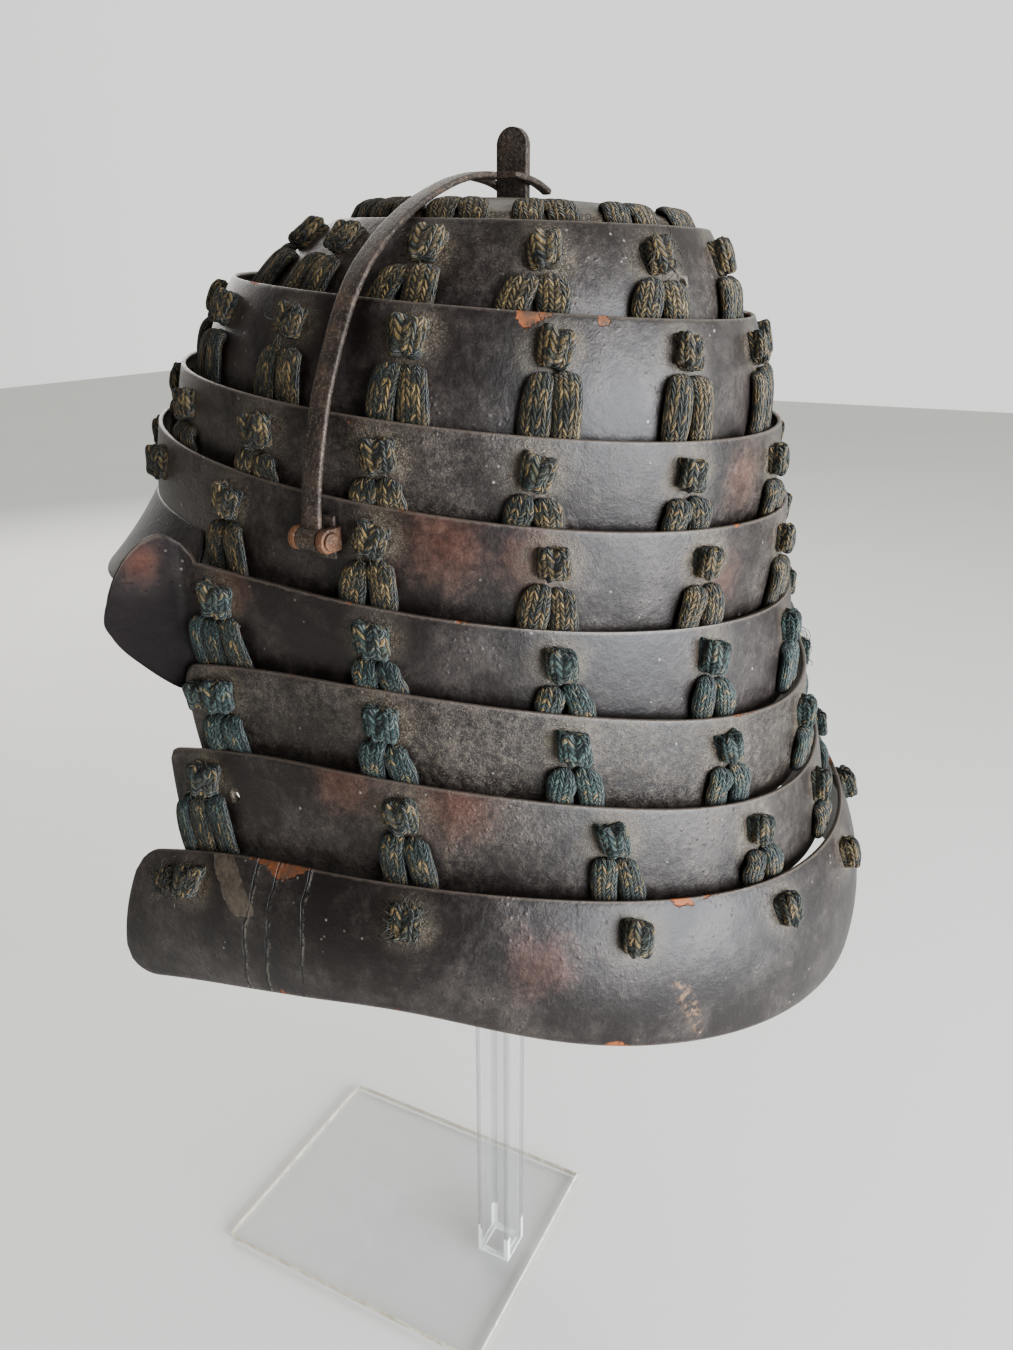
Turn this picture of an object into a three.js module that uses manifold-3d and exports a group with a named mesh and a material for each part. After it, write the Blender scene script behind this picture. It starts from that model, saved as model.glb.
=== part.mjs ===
// A folding "lantern" kabuto: a shallow iron crown plate and eight lacquered iron lames laced
// together with flat braid, a hinged iron strut that props the bowl open, and a clear acrylic stand.
// Millimetres, +Z up. The origin is the middle of the base plate's underside. The helmet faces -Y,
// and the wearer's left is +X.

import * as THREE from 'three';
import { mergeVertices } from 'three/addons/utils/BufferGeometryUtils.js';
import Module from 'manifold-3d';

const wasm = await Module();
wasm.setup();

// ---- driving dimensions ----

const WALL = 1.6;             // lacquered iron plate
const LACE_GAP = 4.8;         // room between a lame and the next one's top edge, where the braid runs
const OVERLAP = 8;            // how far a lame hangs down behind the next one's top edge
const CLEARANCE = 0.3;        // between pieces that touch
const HELMET_Y = 57;          // the bowl's middle, behind the middle of the base plate

const BASE = { width: 120, length: 150, thickness: 4 };
const POST = { side: 17.5, wall: 2.5 };
const REST = { side: 52, thickness: 4, gap: 3.8 };      // the square plate on the post, under the crown

const COLUMNS = 14;           // columns of lacing round a whole lame; one is at the middle of the back
const STEP = 2 * Math.PI / COLUMNS;
const GUARD_FIRST = 3;        // columns count from the front; the open neck guard has this one to its mirror

const HOLE = { drop: 10, height: 5, width: 5.6 };      // where the braid comes out of a lame
const BRAID = { neck: 4, thick: 2.4, knot: 11, pair: 15, lift: 0.5, tail: 8, inset: 0.2 };

// The visor starts at a share of the waist lame's height and vanishes round the sides.
const VISOR = { start: 0.62, end: 1.2, vanish: 1.24, drop: 34, least: 0.4, reach: 26.5, curl: 0.25 };

// The last lame's depth, and how much shallower it is where it passes over the shoulders.
const GUARD_EDGE = { height: 47.5, flare: 9, corner: 5, dip: 7, dipAngle: 1.81, dipSpread: 0.3 };

// A flap's outline: distance out from its fold, and its edges' heights from the top of its lame's sides.
const FLAP = { turn: 1.05, bend: 7 };
const FLAP_OUTLINE = [
  { reach: 4, top: 9, bottom: -39 },
  { reach: 9, top: 13, bottom: -40 },
  { reach: 16, top: 11, bottom: -33 },
  { reach: 22, top: 6, bottom: -26 },
  { reach: 26.5, top: -1, bottom: -20 },
  { reach: 29, top: -7, bottom: -14 },
];

const STRUT = { angle: 85 * Math.PI / 180, width: 7, thick: 2, pin: 1.7, eye: 3.6, slack: 0.5 };
const TAB = { width: 11.7, thick: 2.9, height: 22, tang: 3 };
const HINGE = {
  out: 111.8, height: 408, lug: 2.6, plateOut: 106.4, plateThick: 1.4, plateHeight: 19, plateWidth: 13,
  rivet: 6.8, rivetLength: 9,
};

// The strut's middle line from its tip on the crown plate to its hinge: out from the crown's middle, height.
const STRUT_ROUTE = [
  [-11, 506.3], [-6, 508.4], [2, 510.2], [14, 511], [24, 510.6], [38, 507.6], [52, 502.6], [62, 498],
  [74, 490.6], [84, 482.4], [90.5, 474.4], [96.5, 464], [104, 448.5], [108, 435], [110.6, 424],
  [HINGE.out, 414], [HINGE.out, HINGE.height + STRUT.eye - 1],
];
const YOKE_GAP = 6;

// The top edge of each lame: height at its sides, how far its middle is forward of the bowl's middle,
// half its length, half its width, rise towards the front per mm, droop at 100 mm to the front or back,
// how round its middle stands, and how far forward the open ones run. The columns of lacing aren't evenly
// spaced on it: lean moves them all back, spread moves them away from the sides, and ends moves the
// guard's outermost ones forward, in radians.
const LAMES = [
  { top: 496.3, shift: -9.5, length: 65, width: 61.2, tilt: 0.031, droop: 0, round: 2.6, lean: -0.15 },
  { top: 474.7, shift: 2.7, length: 93.9, width: 84.6, tilt: 0.077, droop: 0, round: 2.6, spread: -0.035 },
  { top: 443.7, shift: 8, length: 110.5, width: 99.3, tilt: 0.098, droop: 0, round: 1.0, spread: -0.07 },
  { top: 420.6, shift: 11.8, length: 119.6, width: 104.4, tilt: 0.117, droop: 0, round: 1.0, lean: -0.022 },
  { top: 391.6, shift: 15.5, length: 127.4, width: 111, tilt: 0.096, droop: 2, round: 0.8, forward: 36.5 },
  {
    top: 365, shift: 11, length: 131.4, width: 115.5, tilt: -0.02, droop: 13, round: 0.8, forward: 46,
    ends: 0.015,
  },
  {
    top: 337.5, shift: 8.2, length: 136.1, width: 120, tilt: -0.04, droop: 14, round: 0.8, forward: 56,
    spread: 0.065, ends: 0.05,
  },
  {
    top: 305.5, shift: 3, length: 142.3, width: 127.2, tilt: -0.09, droop: 13, round: 4, forward: 73,
    spread: 0.075, ends: 0.07,
  },
];
const OPEN_FROM = 4;          // this lame and those below it are open at the front

// The crown plate: share of its half-length and half-width, and height above its rim.
const CROWN = [
  { share: 0.78, rise: 5.2 },
  { share: 0.87, rise: 4.1 },
  { share: 0.96, rise: 2.2 },
  { share: 1.0, rise: -0.6 },
  { share: 1.02, rise: -8 },
];
const CROWN_RISE = 8.4;
const CROWN_BACK = 6;         // how far the crown's middle is behind the bowl's
const REST_TOP = LAMES[0].top + CROWN_RISE - WALL - REST.gap;

// ---- materials ----

const lacquer = { color: 0x2b2426, roughness: 0.45, metalness: 0.3 };
const crownIron = { color: 0x4a4038, roughness: 0.7, metalness: 0.3 };
const braid = { color: 0x4f5a48, roughness: 0.95, metalness: 0 };
const darkIron = { color: 0x3a302b, roughness: 0.6, metalness: 0.7 };
const acrylic = { color: 0xe9ece8, roughness: 0.08, metalness: 0 };

const kabuto = new THREE.Group();

function addPiece(name, geometry, finish) {
  const mesh = new THREE.Mesh(geometry, new THREE.MeshStandardMaterial(finish));
  mesh.name = name;
  kabuto.add(mesh);
}

// ---- solids ----

function geometryFrom(points, faces) {
  const geometry = new THREE.BufferGeometry();
  const values = faces.flat().flatMap((index) => points[index].toArray());
  geometry.setAttribute('position', new THREE.Float32BufferAttribute(values, 3));
  return mergeVertices(geometry, 1e-4);
}

function toSolid(geometry) {
  const bare = geometry.clone();
  bare.deleteAttribute('normal');
  bare.deleteAttribute('uv');
  const merged = mergeVertices(bare, 1e-4);
  return new wasm.Manifold(new wasm.Mesh({
    numProp: 3,
    vertProperties: new Float32Array(merged.attributes.position.array),
    triVerts: new Uint32Array(merged.index.array),
  }));
}

function fromSolid(solid) {
  const mesh = solid.getMesh();
  const geometry = new THREE.BufferGeometry();
  geometry.setAttribute('position', new THREE.BufferAttribute(new Float32Array(mesh.vertProperties), 3));
  geometry.setIndex(new THREE.BufferAttribute(new Uint32Array(mesh.triVerts), 1));
  return geometry;
}

function join(...geometries) {
  return geometries.map(toSolid).reduce((whole, next) => whole.add(next));
}

// A bent plate from a grid of outer points, rows from top to bottom and columns anticlockwise from above.
// Its inner face is a wall's thickness behind the outer one. isHole(row, column) leaves a cell open.
function plateFrom(grid, closed, isHole, pole) {
  const rows = grid.length;
  const columns = grid[0].length;
  const at = (row, column) => grid[row][closed ? (column + columns) % columns : column];
  const last = columns - 1;
  const inner = grid.map((line, row) => line.map((point, column) => {
    const left = at(row, closed ? column - 1 : Math.max(column - 1, 0));
    const right = at(row, closed ? column + 1 : Math.min(column + 1, last));
    const up = grid[Math.max(row - 1, 0)][column];
    const down = grid[Math.min(row + 1, rows - 1)][column];
    const across = new THREE.Vector3().subVectors(right, left);
    const along = new THREE.Vector3().subVectors(down, up);
    const out = new THREE.Vector3().crossVectors(along, across).normalize();
    return point.clone().addScaledVector(out, -WALL);
  }));

  const points = [...grid.flat(), ...inner.flat()];
  const faces = [];
  const outerAt = (row, column) => row * columns + (column % columns);
  const innerAt = (row, column) => rows * columns + outerAt(row, column);
  const quad = (a, b, c, d) => faces.push([a, b, c], [a, c, d]);
  const spans = closed ? columns : columns - 1;
  const open = (row, column) => {
    if (row < 0 || row >= rows - 1) return true;
    if (!closed && (column < 0 || column >= spans)) return true;
    return isHole(row, (column + columns) % columns);
  };

  for (let row = 0; row < rows - 1; row += 1) {
    for (let column = 0; column < spans; column += 1) {
      if (open(row, column)) continue;
      const next = column + 1;
      quad(outerAt(row, column), outerAt(row + 1, column), outerAt(row + 1, next), outerAt(row, next));
      quad(innerAt(row, column), innerAt(row, next), innerAt(row + 1, next), innerAt(row + 1, column));
      if (open(row - 1, column) && !(pole && row === 0)) {
        quad(outerAt(row, column), outerAt(row, next), innerAt(row, next), innerAt(row, column));
      }
      if (open(row + 1, column)) {
        const under = row + 1;
        quad(outerAt(under, next), outerAt(under, column), innerAt(under, column), innerAt(under, next));
      }
      if (open(row, column - 1)) {
        quad(outerAt(row + 1, column), outerAt(row, column), innerAt(row, column), innerAt(row + 1, column));
      }
      if (open(row, column + 1)) {
        quad(outerAt(row, next), outerAt(row + 1, next), innerAt(row + 1, next), innerAt(row, next));
      }
    }
  }

  if (pole) {
    const top = points.push(pole) - 1;
    const under = points.push(pole.clone().setZ(pole.z - WALL)) - 1;
    for (let column = 0; column < columns; column += 1) {
      faces.push([top, outerAt(0, column), outerAt(0, column + 1)]);
      faces.push([under, innerAt(0, column + 1), innerAt(0, column)]);
      if (isHole(0, column)) {
        quad(outerAt(0, column + 1), outerAt(0, column), innerAt(0, column), innerAt(0, column + 1));
      }
    }
  }
  return geometryFrom(points, faces);
}

// A bar of rectangular section through stations, each with its middle, the two directions of its section,
// and its half sizes along them.
function barThrough(stations) {
  const points = [];
  const faces = [];
  const corners = [[-1, -1], [1, -1], [1, 1], [-1, 1]];
  stations.forEach(({ middle, side, face, width, thick }) => {
    corners.forEach(([a, b]) => {
      points.push(middle.clone().addScaledVector(side, a * width / 2).addScaledVector(face, b * thick / 2));
    });
  });
  const end = (stations.length - 1) * 4;
  for (let start = 0; start < end; start += 4) {
    for (let k = 0; k < 4; k += 1) {
      const n = (k + 1) % 4;
      faces.push([start + k, start + 4 + n, start + 4 + k], [start + k, start + n, start + 4 + n]);
    }
  }
  faces.push([0, 2, 1], [0, 3, 2], [end, end + 1, end + 2], [end, end + 2, end + 3]);
  return geometryFrom(points, faces);
}

// ---- the lames' shape ----

// A point on a lame's edge at an angle from the front. An open lame's sides run straight ahead.
function edgePoint(lame, angle, inset = 0, drop = 0) {
  const along = (lame.length - inset) * Math.cos(angle);
  const isAhead = lame.forward !== undefined && along > 0;
  const side = (lame.width - inset) * (isAhead ? Math.sign(Math.sin(angle)) : Math.sin(angle));
  const height = lame.top + lame.tilt * along - lame.droop * (along / 100) ** 2 - drop;
  return new THREE.Vector3(side, HELMET_Y - lame.shift - along, height);
}

// The waist lame goes all the way round, so its lower edge follows a whole oval.
function lowerEdge(index) {
  const next = LAMES[index + 1];
  return index < OPEN_FROM ? { ...next, forward: undefined } : next;
}

// How far round the front an angle is, from 0 at the middle to half a turn at the back.
const fromFront = (angle) => Math.abs(Math.atan2(Math.sin(angle), Math.cos(angle)));

function guardDepth(angle) {
  const away = (fromFront(angle) - GUARD_EDGE.dipAngle) / GUARD_EDGE.dipSpread;
  return GUARD_EDGE.height - GUARD_EDGE.dip * Math.exp(-(away ** 2));
}

// The outside of a lame, from its top edge (share 0) to its bottom edge (share 1), which hangs inside the
// next lame. The last lame flares out and rounds under instead.
function lamePoint(index, angle, share) {
  const lame = LAMES[index];
  const upper = edgePoint(lame, angle);
  const isLast = index === LAMES.length - 1;
  const lower = isLast
    ? edgePoint(lame, angle, -GUARD_EDGE.flare, guardDepth(angle))
    : edgePoint(lowerEdge(index), angle, WALL + LACE_GAP, OVERLAP);
  const point = new THREE.Vector3().lerpVectors(upper, lower, share);
  const stand = lame.round * 4 * share * (1 - share);
  const away = new THREE.Vector3(Math.sin(angle), -Math.cos(angle), 0);
  return point.addScaledVector(away, stand);
}

function lameLength(index, angle) {
  return lamePoint(index, angle, 0).distanceTo(lamePoint(index, angle, 1));
}

// The direction out of a lame's face, and the one up along it.
function lameFrame(index, angle, share) {
  const small = 0.01;
  const across = lamePoint(index, angle + small, share)
    .sub(lamePoint(index, angle - small, share)).normalize();
  const up = lamePoint(index, angle, share - small).sub(lamePoint(index, angle, share + small)).normalize();
  return { across, up, out: new THREE.Vector3().crossVectors(across, up).normalize() };
}

function holeShare(index, angle) {
  return HOLE.drop / lameLength(index, angle);
}

// Where a column of lacing crosses a lame.
function columnAngle(index, column) {
  const { lean = 0, spread = 0, ends = 0 } = LAMES[index];
  const angle = column * STEP;
  const isFirst = column === GUARD_FIRST;
  const isLast = column === COLUMNS - GUARD_FIRST;
  return angle + lean * Math.sin(angle) - spread * Math.sin(2 * angle) + (isLast - isFirst) * ends;
}

// Angles of the grid lines round a lame: both sides of each column's hole, and one line between columns.
const LINES = 3;

function gridAngles(index, radiusShare = 1) {
  const lame = LAMES[index];
  const halfHole = (angle) => HOLE.width / 2 / radiusShare / lamePoint(index, angle, 0).setZ(0)
    .distanceTo(new THREE.Vector3(0, HELMET_Y - lame.shift, 0));
  const isOpen = index >= OPEN_FROM;
  const first = isOpen ? GUARD_FIRST : 0;
  const last = isOpen ? COLUMNS - GUARD_FIRST : COLUMNS - 1;
  const angles = [];
  for (let column = first; column <= last; column += 1) {
    const angle = columnAngle(index, column);
    angles.push(angle - halfHole(angle), angle + halfHole(angle));
    if (!isOpen || column < last) angles.push((angle + columnAngle(index, column + 1)) / 2);
  }
  return angles;
}

// ---- crown plate and lames ----

const crownRing = {
  ...LAMES[0],
  length: LAMES[0].length - WALL - LACE_GAP,
  width: LAMES[0].width - WALL - LACE_GAP,
};

function crownPoint(angle, share, rise) {
  const point = edgePoint(crownRing, angle);
  const middle = crownMiddle(0);
  return new THREE.Vector3(
    middle.x + (point.x - middle.x) * share,
    middle.y + (point.y - middle.y) * share,
    middle.z + (point.z - middle.z) * share + rise,
  );
}

function crownMiddle(rise) {
  return new THREE.Vector3(0, HELMET_Y + CROWN_BACK, crownRing.top + rise);
}

const CROWN_HOLE_ROW = 0;

function crownPlate() {
  const angles = gridAngles(0, CROWN[CROWN_HOLE_ROW].share);
  const grid = CROWN.map(({ share, rise }) => angles.map((angle) => crownPoint(angle, share, rise)));
  const isHole = (row, column) => row === CROWN_HOLE_ROW && column % LINES === 0;
  const dome = plateFrom(grid, true, isHole, crownMiddle(CROWN_RISE));
  const slot = new THREE.BoxGeometry(TAB.width + 2 * CLEARANCE, TAB.thick + 2 * CLEARANCE, 12);
  slot.rotateZ(STRUT.angle);
  const middle = crownMiddle(CROWN_RISE);
  slot.translate(middle.x, middle.y, middle.z);
  return fromSolid(toSolid(dome).subtract(toSolid(slot)));
}

// Shares of a lame's height where its rows lie.
function rowShares(index, angle) {
  const middle = holeShare(index, angle);
  const half = HOLE.height / 2 / lameLength(index, angle);
  const shares = [0, middle - half, middle + half];
  return LAMES[index].round > 1 ? [...shares, 0.65, 1] : [...shares, 1];
}

const isLaceHole = (row, column) => row === 1 && column % LINES === 0;

function closedLame(index) {
  const angles = gridAngles(index);
  const grid = rowShares(index, 0).map((_, row) => (
    angles.map((angle) => lamePoint(index, angle, rowShares(index, angle)[row]))
  ));
  return plateFrom(grid, true, isLaceHole);
}

// The waist lame. Round the front its lower edge turns out and down into the visor.
function waistLame() {
  const index = OPEN_FROM - 1;
  const angles = gridAngles(index);
  const isVisor = (angle) => fromFront(angle) < VISOR.end;
  const plain = rowShares(index, 0).length - 1;
  const grid = rowShares(index, 0).map((_, row) => angles.map((angle) => {
    const share = row === plain && isVisor(angle) ? VISOR.start : rowShares(index, angle)[row];
    return lamePoint(index, angle, share);
  }));
  const rows = 3;
  for (let row = 1; row <= rows; row += 1) {
    grid.push(angles.map((angle) => visorPoint(angle, row / rows)));
  }
  const isOpen = (row, column) => {
    const next = (column + 1) % angles.length;
    return isLaceHole(row, column) || (row >= plain && !(isVisor(angles[column]) && isVisor(angles[next])));
  };
  const plate = toSolid(plateFrom(grid, true, isOpen));
  const bores = hingeRivets(STRUT.pin + CLEARANCE).map(toSolid);
  return fromSolid(bores.reduce((whole, bore) => whole.subtract(bore), plate));
}

function visorPoint(angle, share) {
  const size = Math.sqrt(Math.max(0, 1 - (fromFront(angle) / VISOR.vanish) ** 2));
  const start = lamePoint(OPEN_FROM - 1, angle, VISOR.start);
  const away = new THREE.Vector3(Math.sin(angle), -Math.cos(angle), 0);
  const out = VISOR.reach * size * (share - VISOR.curl * share * (1 - share));
  const down = VISOR.drop * (VISOR.least + (1 - VISOR.least) * size) * share;
  return start.addScaledVector(away, out).setZ(start.z - down);
}

// The angle where an open lame's side has run a given distance forward of the lame's middle.
const angleAhead = (index, forward) => Math.acos(forward / LAMES[index].length);

// An open lame of the neck guard. Its front corners are rounded; the first one's front ends turn out
// into flaps instead.
function guardLame(index) {
  const lame = LAMES[index];
  const hasFlaps = index === OPEN_FROM;
  const rounded = [lame.forward, lame.forward - 1.5, lame.forward - GUARD_EDGE.corner];
  const ahead = hasFlaps ? [lame.forward] : rounded;
  const start = ahead.map((forward) => angleAhead(index, forward));
  const angles = [...start, ...gridAngles(index), ...start.map((angle) => 2 * Math.PI - angle).reverse()];
  const cut = (angle) => {
    const toEnd = lame.forward - lame.length * Math.cos(angle);
    const inside = THREE.MathUtils.clamp(GUARD_EDGE.corner - toEnd, 0, GUARD_EDGE.corner);
    return hasFlaps ? 0 : GUARD_EDGE.corner - Math.sqrt(GUARD_EDGE.corner ** 2 - inside ** 2);
  };
  const grid = rowShares(index, Math.PI).map((_, row) => angles.map((angle) => {
    const margin = cut(angle) / lameLength(index, angle);
    const share = THREE.MathUtils.clamp(rowShares(index, angle)[row], margin, 1 - margin);
    return lamePoint(index, angle, share);
  }));
  const lines = angles.length - 2 * start.length;
  const holesAfter = (before) => (row, column) => (
    column >= before && column < before + lines && isLaceHole(row, column - before)
  );
  if (!hasFlaps) return plateFrom(grid, false, holesAfter(start.length));
  grid.forEach((line, row) => {
    const share = row / (grid.length - 1);
    FLAP_OUTLINE.forEach((section) => {
      line.unshift(flapPoint(section, share, 1));
      line.push(flapPoint(section, share, -1));
    });
  });
  return plateFrom(grid, false, holesAfter(start.length + FLAP_OUTLINE.length));
}

// A point on a flap; side is 1 on the wearer's left and -1 on the right.
function flapPoint({ reach, top, bottom }, share, side) {
  const lame = LAMES[OPEN_FROM];
  const turned = (distance) => FLAP.turn * Math.min(1, distance / FLAP.bend);
  let across = 0;
  let ahead = 0;
  const pieces = 12;
  for (let k = 0; k < pieces; k += 1) {
    const heading = turned((k + 0.5) / pieces * reach);
    across += Math.sin(heading) * reach / pieces;
    ahead += Math.cos(heading) * reach / pieces;
  }
  const height = THREE.MathUtils.lerp(top, bottom, share);
  return new THREE.Vector3(
    side * (lame.width + across),
    HELMET_Y - lame.shift - lame.forward - ahead,
    lame.top + height,
  );
}

// ---- lacing ----

// One column of lacing: a flat braid that comes out through each lame, is knotted there, spreads into a
// pair, and goes down behind the next lame's top edge.
function laceColumn(column, lastLame) {
  const stations = [];
  const add = (origin, frame, offset, face, width, thick, below = 0) => {
    const middle = origin.clone().addScaledVector(frame.out, offset).addScaledVector(frame.up, -below);
    stations.push({ middle, side: frame.across, face, width, thick });
  };
  const corner = ({ out, up }) => out.clone().add(up).normalize();
  const mitre = Math.SQRT2;
  const link = (point, frame, edge, edgeFrame) => {
    add(point, frame, -(WALL + LACE_GAP / 2), corner(frame), BRAID.neck, BRAID.thick * mitre);
    add(point, frame, BRAID.lift, frame.up, BRAID.neck, BRAID.thick);
    add(point, frame, BRAID.lift + BRAID.thick / 2 + 0.4, corner(frame), BRAID.knot, BRAID.thick * mitre);
    if (!edge) {
      add(point, frame, BRAID.lift + BRAID.thick / 2 + 0.2, frame.out, BRAID.knot, BRAID.thick, BRAID.tail);
      return;
    }
    add(point, frame, BRAID.lift + BRAID.thick / 2 + 0.2, frame.out, BRAID.pair, BRAID.thick, BRAID.tail);
    add(edge, edgeFrame, -(WALL + LACE_GAP / 2 + BRAID.inset), edgeFrame.out, BRAID.pair, BRAID.thick);
  };
  const placeOn = (index, share) => {
    const angle = columnAngle(index, column);
    return [lamePoint(index, angle, share), lameFrame(index, angle, share)];
  };
  const rim = 0.03;

  link(...crownHole(columnAngle(0, column)), ...placeOn(0, rim));
  for (let index = 0; index <= lastLame; index += 1) {
    const hole = placeOn(index, holeShare(index, columnAngle(index, column)));
    link(...hole, ...(index < lastLame ? placeOn(index + 1, rim) : []));
  }
  return barThrough(stations);
}

// The middle of a lacing hole in the crown plate, with its directions.
function crownHole(angle) {
  const above = CROWN[CROWN_HOLE_ROW];
  const below = CROWN[CROWN_HOLE_ROW + 1];
  const high = crownPoint(angle, above.share, above.rise);
  const low = crownPoint(angle, below.share, below.rise);
  const small = 0.01;
  const across = crownPoint(angle + small, above.share, above.rise)
    .sub(crownPoint(angle - small, above.share, above.rise)).normalize();
  const up = high.clone().sub(low).normalize();
  const out = new THREE.Vector3().crossVectors(across, up).normalize();
  return [high.lerp(low, 0.5), { across, up, out }];
}

// ---- strut, its hinge and the tab it hooks round ----

// Places in the strut's upright plane: distance out from the middle of the crown, and height.
const strutOut = new THREE.Vector3(Math.sin(STRUT.angle), -Math.cos(STRUT.angle), 0);
const strutAcross = new THREE.Vector3(Math.cos(STRUT.angle), Math.sin(STRUT.angle), 0);

function strutPlace(out, height, across = 0) {
  return crownMiddle(0).setZ(height).addScaledVector(strutOut, out).addScaledVector(strutAcross, across);
}

// Turns a shape drawn in X (out) and Y (up), and thick along Z, into the strut's plane.
function inStrutPlane(geometry) {
  const up = new THREE.Vector3(0, 0, 1);
  const basis = new THREE.Matrix4().makeBasis(strutOut, up, strutAcross.clone().negate());
  geometry.applyMatrix4(basis.setPosition(crownMiddle(0).setZ(0)));
  return geometry;
}

function pinAlongHinge(radius, length, across = 0, sides = 12) {
  const pin = new THREE.CylinderGeometry(radius, radius, length, sides);
  pin.rotateX(Math.PI / 2);
  pin.translate(HINGE.out, HINGE.height, across);
  return inStrutPlane(pin);
}

function hingeRivets(radius) {
  return [HINGE.rivet, -HINGE.rivet].map((up) => {
    const rivet = new THREE.CylinderGeometry(radius, radius, HINGE.rivetLength, 8);
    rivet.rotateZ(Math.PI / 2);
    rivet.translate(HINGE.plateOut + HINGE.plateThick - HINGE.rivetLength / 2 + 1, HINGE.height + up, 0);
    return inStrutPlane(rivet);
  });
}

function strutBar(route, width, offset = 0) {
  const stations = route.map(([out, height], k) => {
    const [outBefore, heightBefore] = route[Math.max(k - 1, 0)];
    const [outAfter, heightAfter] = route[Math.min(k + 1, route.length - 1)];
    const along = new THREE.Vector3().addScaledVector(strutOut, outAfter - outBefore)
      .add(new THREE.Vector3(0, 0, heightAfter - heightBefore)).normalize();
    const face = new THREE.Vector3().crossVectors(along, strutAcross).normalize();
    return { middle: strutPlace(out, height, offset), side: strutAcross, face, width, thick: STRUT.thick };
  });
  return barThrough(stations);
}

function strut() {
  const prongWidth = STRUT.width / 2;
  const prongAt = TAB.width / 2 + STRUT.slack + prongWidth / 2;
  const prongs = [prongAt, -prongAt].map((offset) => strutBar(STRUT_ROUTE.slice(0, 4), prongWidth, offset));
  const yoke = strutBar(STRUT_ROUTE.slice(2, 4), 2 * prongAt + prongWidth);
  const gap = new THREE.BoxGeometry(2 * YOKE_GAP, TAB.height, TAB.width + 2 * STRUT.slack);
  gap.translate(0, STRUT_ROUTE[2][1], 0);
  const eye = pinAlongHinge(STRUT.eye, STRUT.width);
  const bore = pinAlongHinge(STRUT.pin + CLEARANCE, 2 * STRUT.width);
  const bar = strutBar(STRUT_ROUTE.slice(3), STRUT.width);
  const whole = join(bar, ...prongs, yoke, eye);
  return fromSolid(whole.subtract(toSolid(bore)).subtract(toSolid(inStrutPlane(gap))));
}

// The bracket riveted to the waist lame, with the two lugs and the pin that the strut turns on.
function strutHinge() {
  const plate = new THREE.BoxGeometry(HINGE.plateThick, HINGE.plateHeight, HINGE.plateWidth);
  plate.translate(HINGE.plateOut + HINGE.plateThick / 2, HINGE.height, 0);
  const lugAt = STRUT.width / 2 + STRUT.slack + HINGE.lug / 2;
  const lugs = [lugAt, -lugAt].flatMap((across) => {
    const round = pinAlongHinge(STRUT.eye, HINGE.lug, across);
    const web = new THREE.BoxGeometry(HINGE.out - HINGE.plateOut, 2 * STRUT.eye, HINGE.lug);
    web.translate((HINGE.out + HINGE.plateOut) / 2, HINGE.height, across);
    return [round, inStrutPlane(web)];
  });
  const pin = pinAlongHinge(STRUT.pin, 2 * (lugAt + HINGE.lug / 2) + 1);
  return fromSolid(join(inStrutPlane(plate), ...lugs, pin, ...hingeRivets(STRUT.pin)));
}

// The upright tab with a rounded top, whose tang goes down through the crown plate.
function crownTab() {
  const half = TAB.width / 2;
  const outline = new THREE.Shape();
  outline.moveTo(-half, -TAB.tang);
  outline.lineTo(half, -TAB.tang);
  outline.lineTo(half, TAB.height - half);
  outline.absarc(0, TAB.height - half, half, 0, Math.PI, false);
  outline.lineTo(-half, -TAB.tang);
  const tab = new THREE.ExtrudeGeometry(outline, { depth: TAB.thick, bevelEnabled: false, curveSegments: 8 });
  tab.translate(0, 0, -TAB.thick / 2);
  tab.rotateX(Math.PI / 2);
  tab.rotateZ(STRUT.angle);
  const foot = crownMiddle(CROWN_RISE);
  tab.translate(foot.x, foot.y, foot.z);
  return tab;
}

// ---- the clear stand ----

function standPost() {
  const half = POST.side / 2;
  const hollow = half - POST.wall;
  const outline = new THREE.Shape([
    new THREE.Vector2(-half, -half), new THREE.Vector2(half, -half),
    new THREE.Vector2(half, half), new THREE.Vector2(-half, half),
  ]);
  outline.holes.push(new THREE.Path([
    new THREE.Vector2(-hollow, -hollow), new THREE.Vector2(-hollow, hollow),
    new THREE.Vector2(hollow, hollow), new THREE.Vector2(hollow, -hollow),
  ]));
  const foot = BASE.thickness + CLEARANCE;
  const depth = REST_TOP - REST.thickness - CLEARANCE - foot;
  const post = new THREE.ExtrudeGeometry(outline, { depth, bevelEnabled: false });
  post.translate(0, HELMET_Y, foot);
  return post;
}

function flatPlate(width, length, thickness, y, top) {
  const plate = new THREE.BoxGeometry(width, length, thickness);
  plate.translate(0, y, top - thickness / 2);
  return plate;
}

// ---- the assembly ----

addPiece('crown_plate', crownPlate(), crownIron);
LAMES.forEach((lame, index) => {
  const name = `lame_${index + 1}`;
  if (index < OPEN_FROM - 1) addPiece(name, closedLame(index), lacquer);
  else if (index === OPEN_FROM - 1) addPiece(name, waistLame(), lacquer);
  else addPiece(name, guardLame(index), lacquer);
});

for (let column = 0; column < COLUMNS; column += 1) {
  const isOnGuard = column >= GUARD_FIRST && column <= COLUMNS - GUARD_FIRST;
  addPiece(`lacing_${column + 1}`, laceColumn(column, isOnGuard ? LAMES.length - 1 : OPEN_FROM - 1), braid);
}

addPiece('crown_tab', crownTab(), darkIron);
addPiece('strut', strut(), darkIron);
addPiece('strut_hinge', strutHinge(), darkIron);

addPiece('stand_base', flatPlate(BASE.width, BASE.length, BASE.thickness, 0, BASE.thickness), acrylic);
addPiece('stand_post', standPost(), acrylic);
addPiece('stand_rest', flatPlate(REST.side, REST.side, REST.thickness, HELMET_Y, REST_TOP), acrylic);

export default kabuto;
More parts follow.
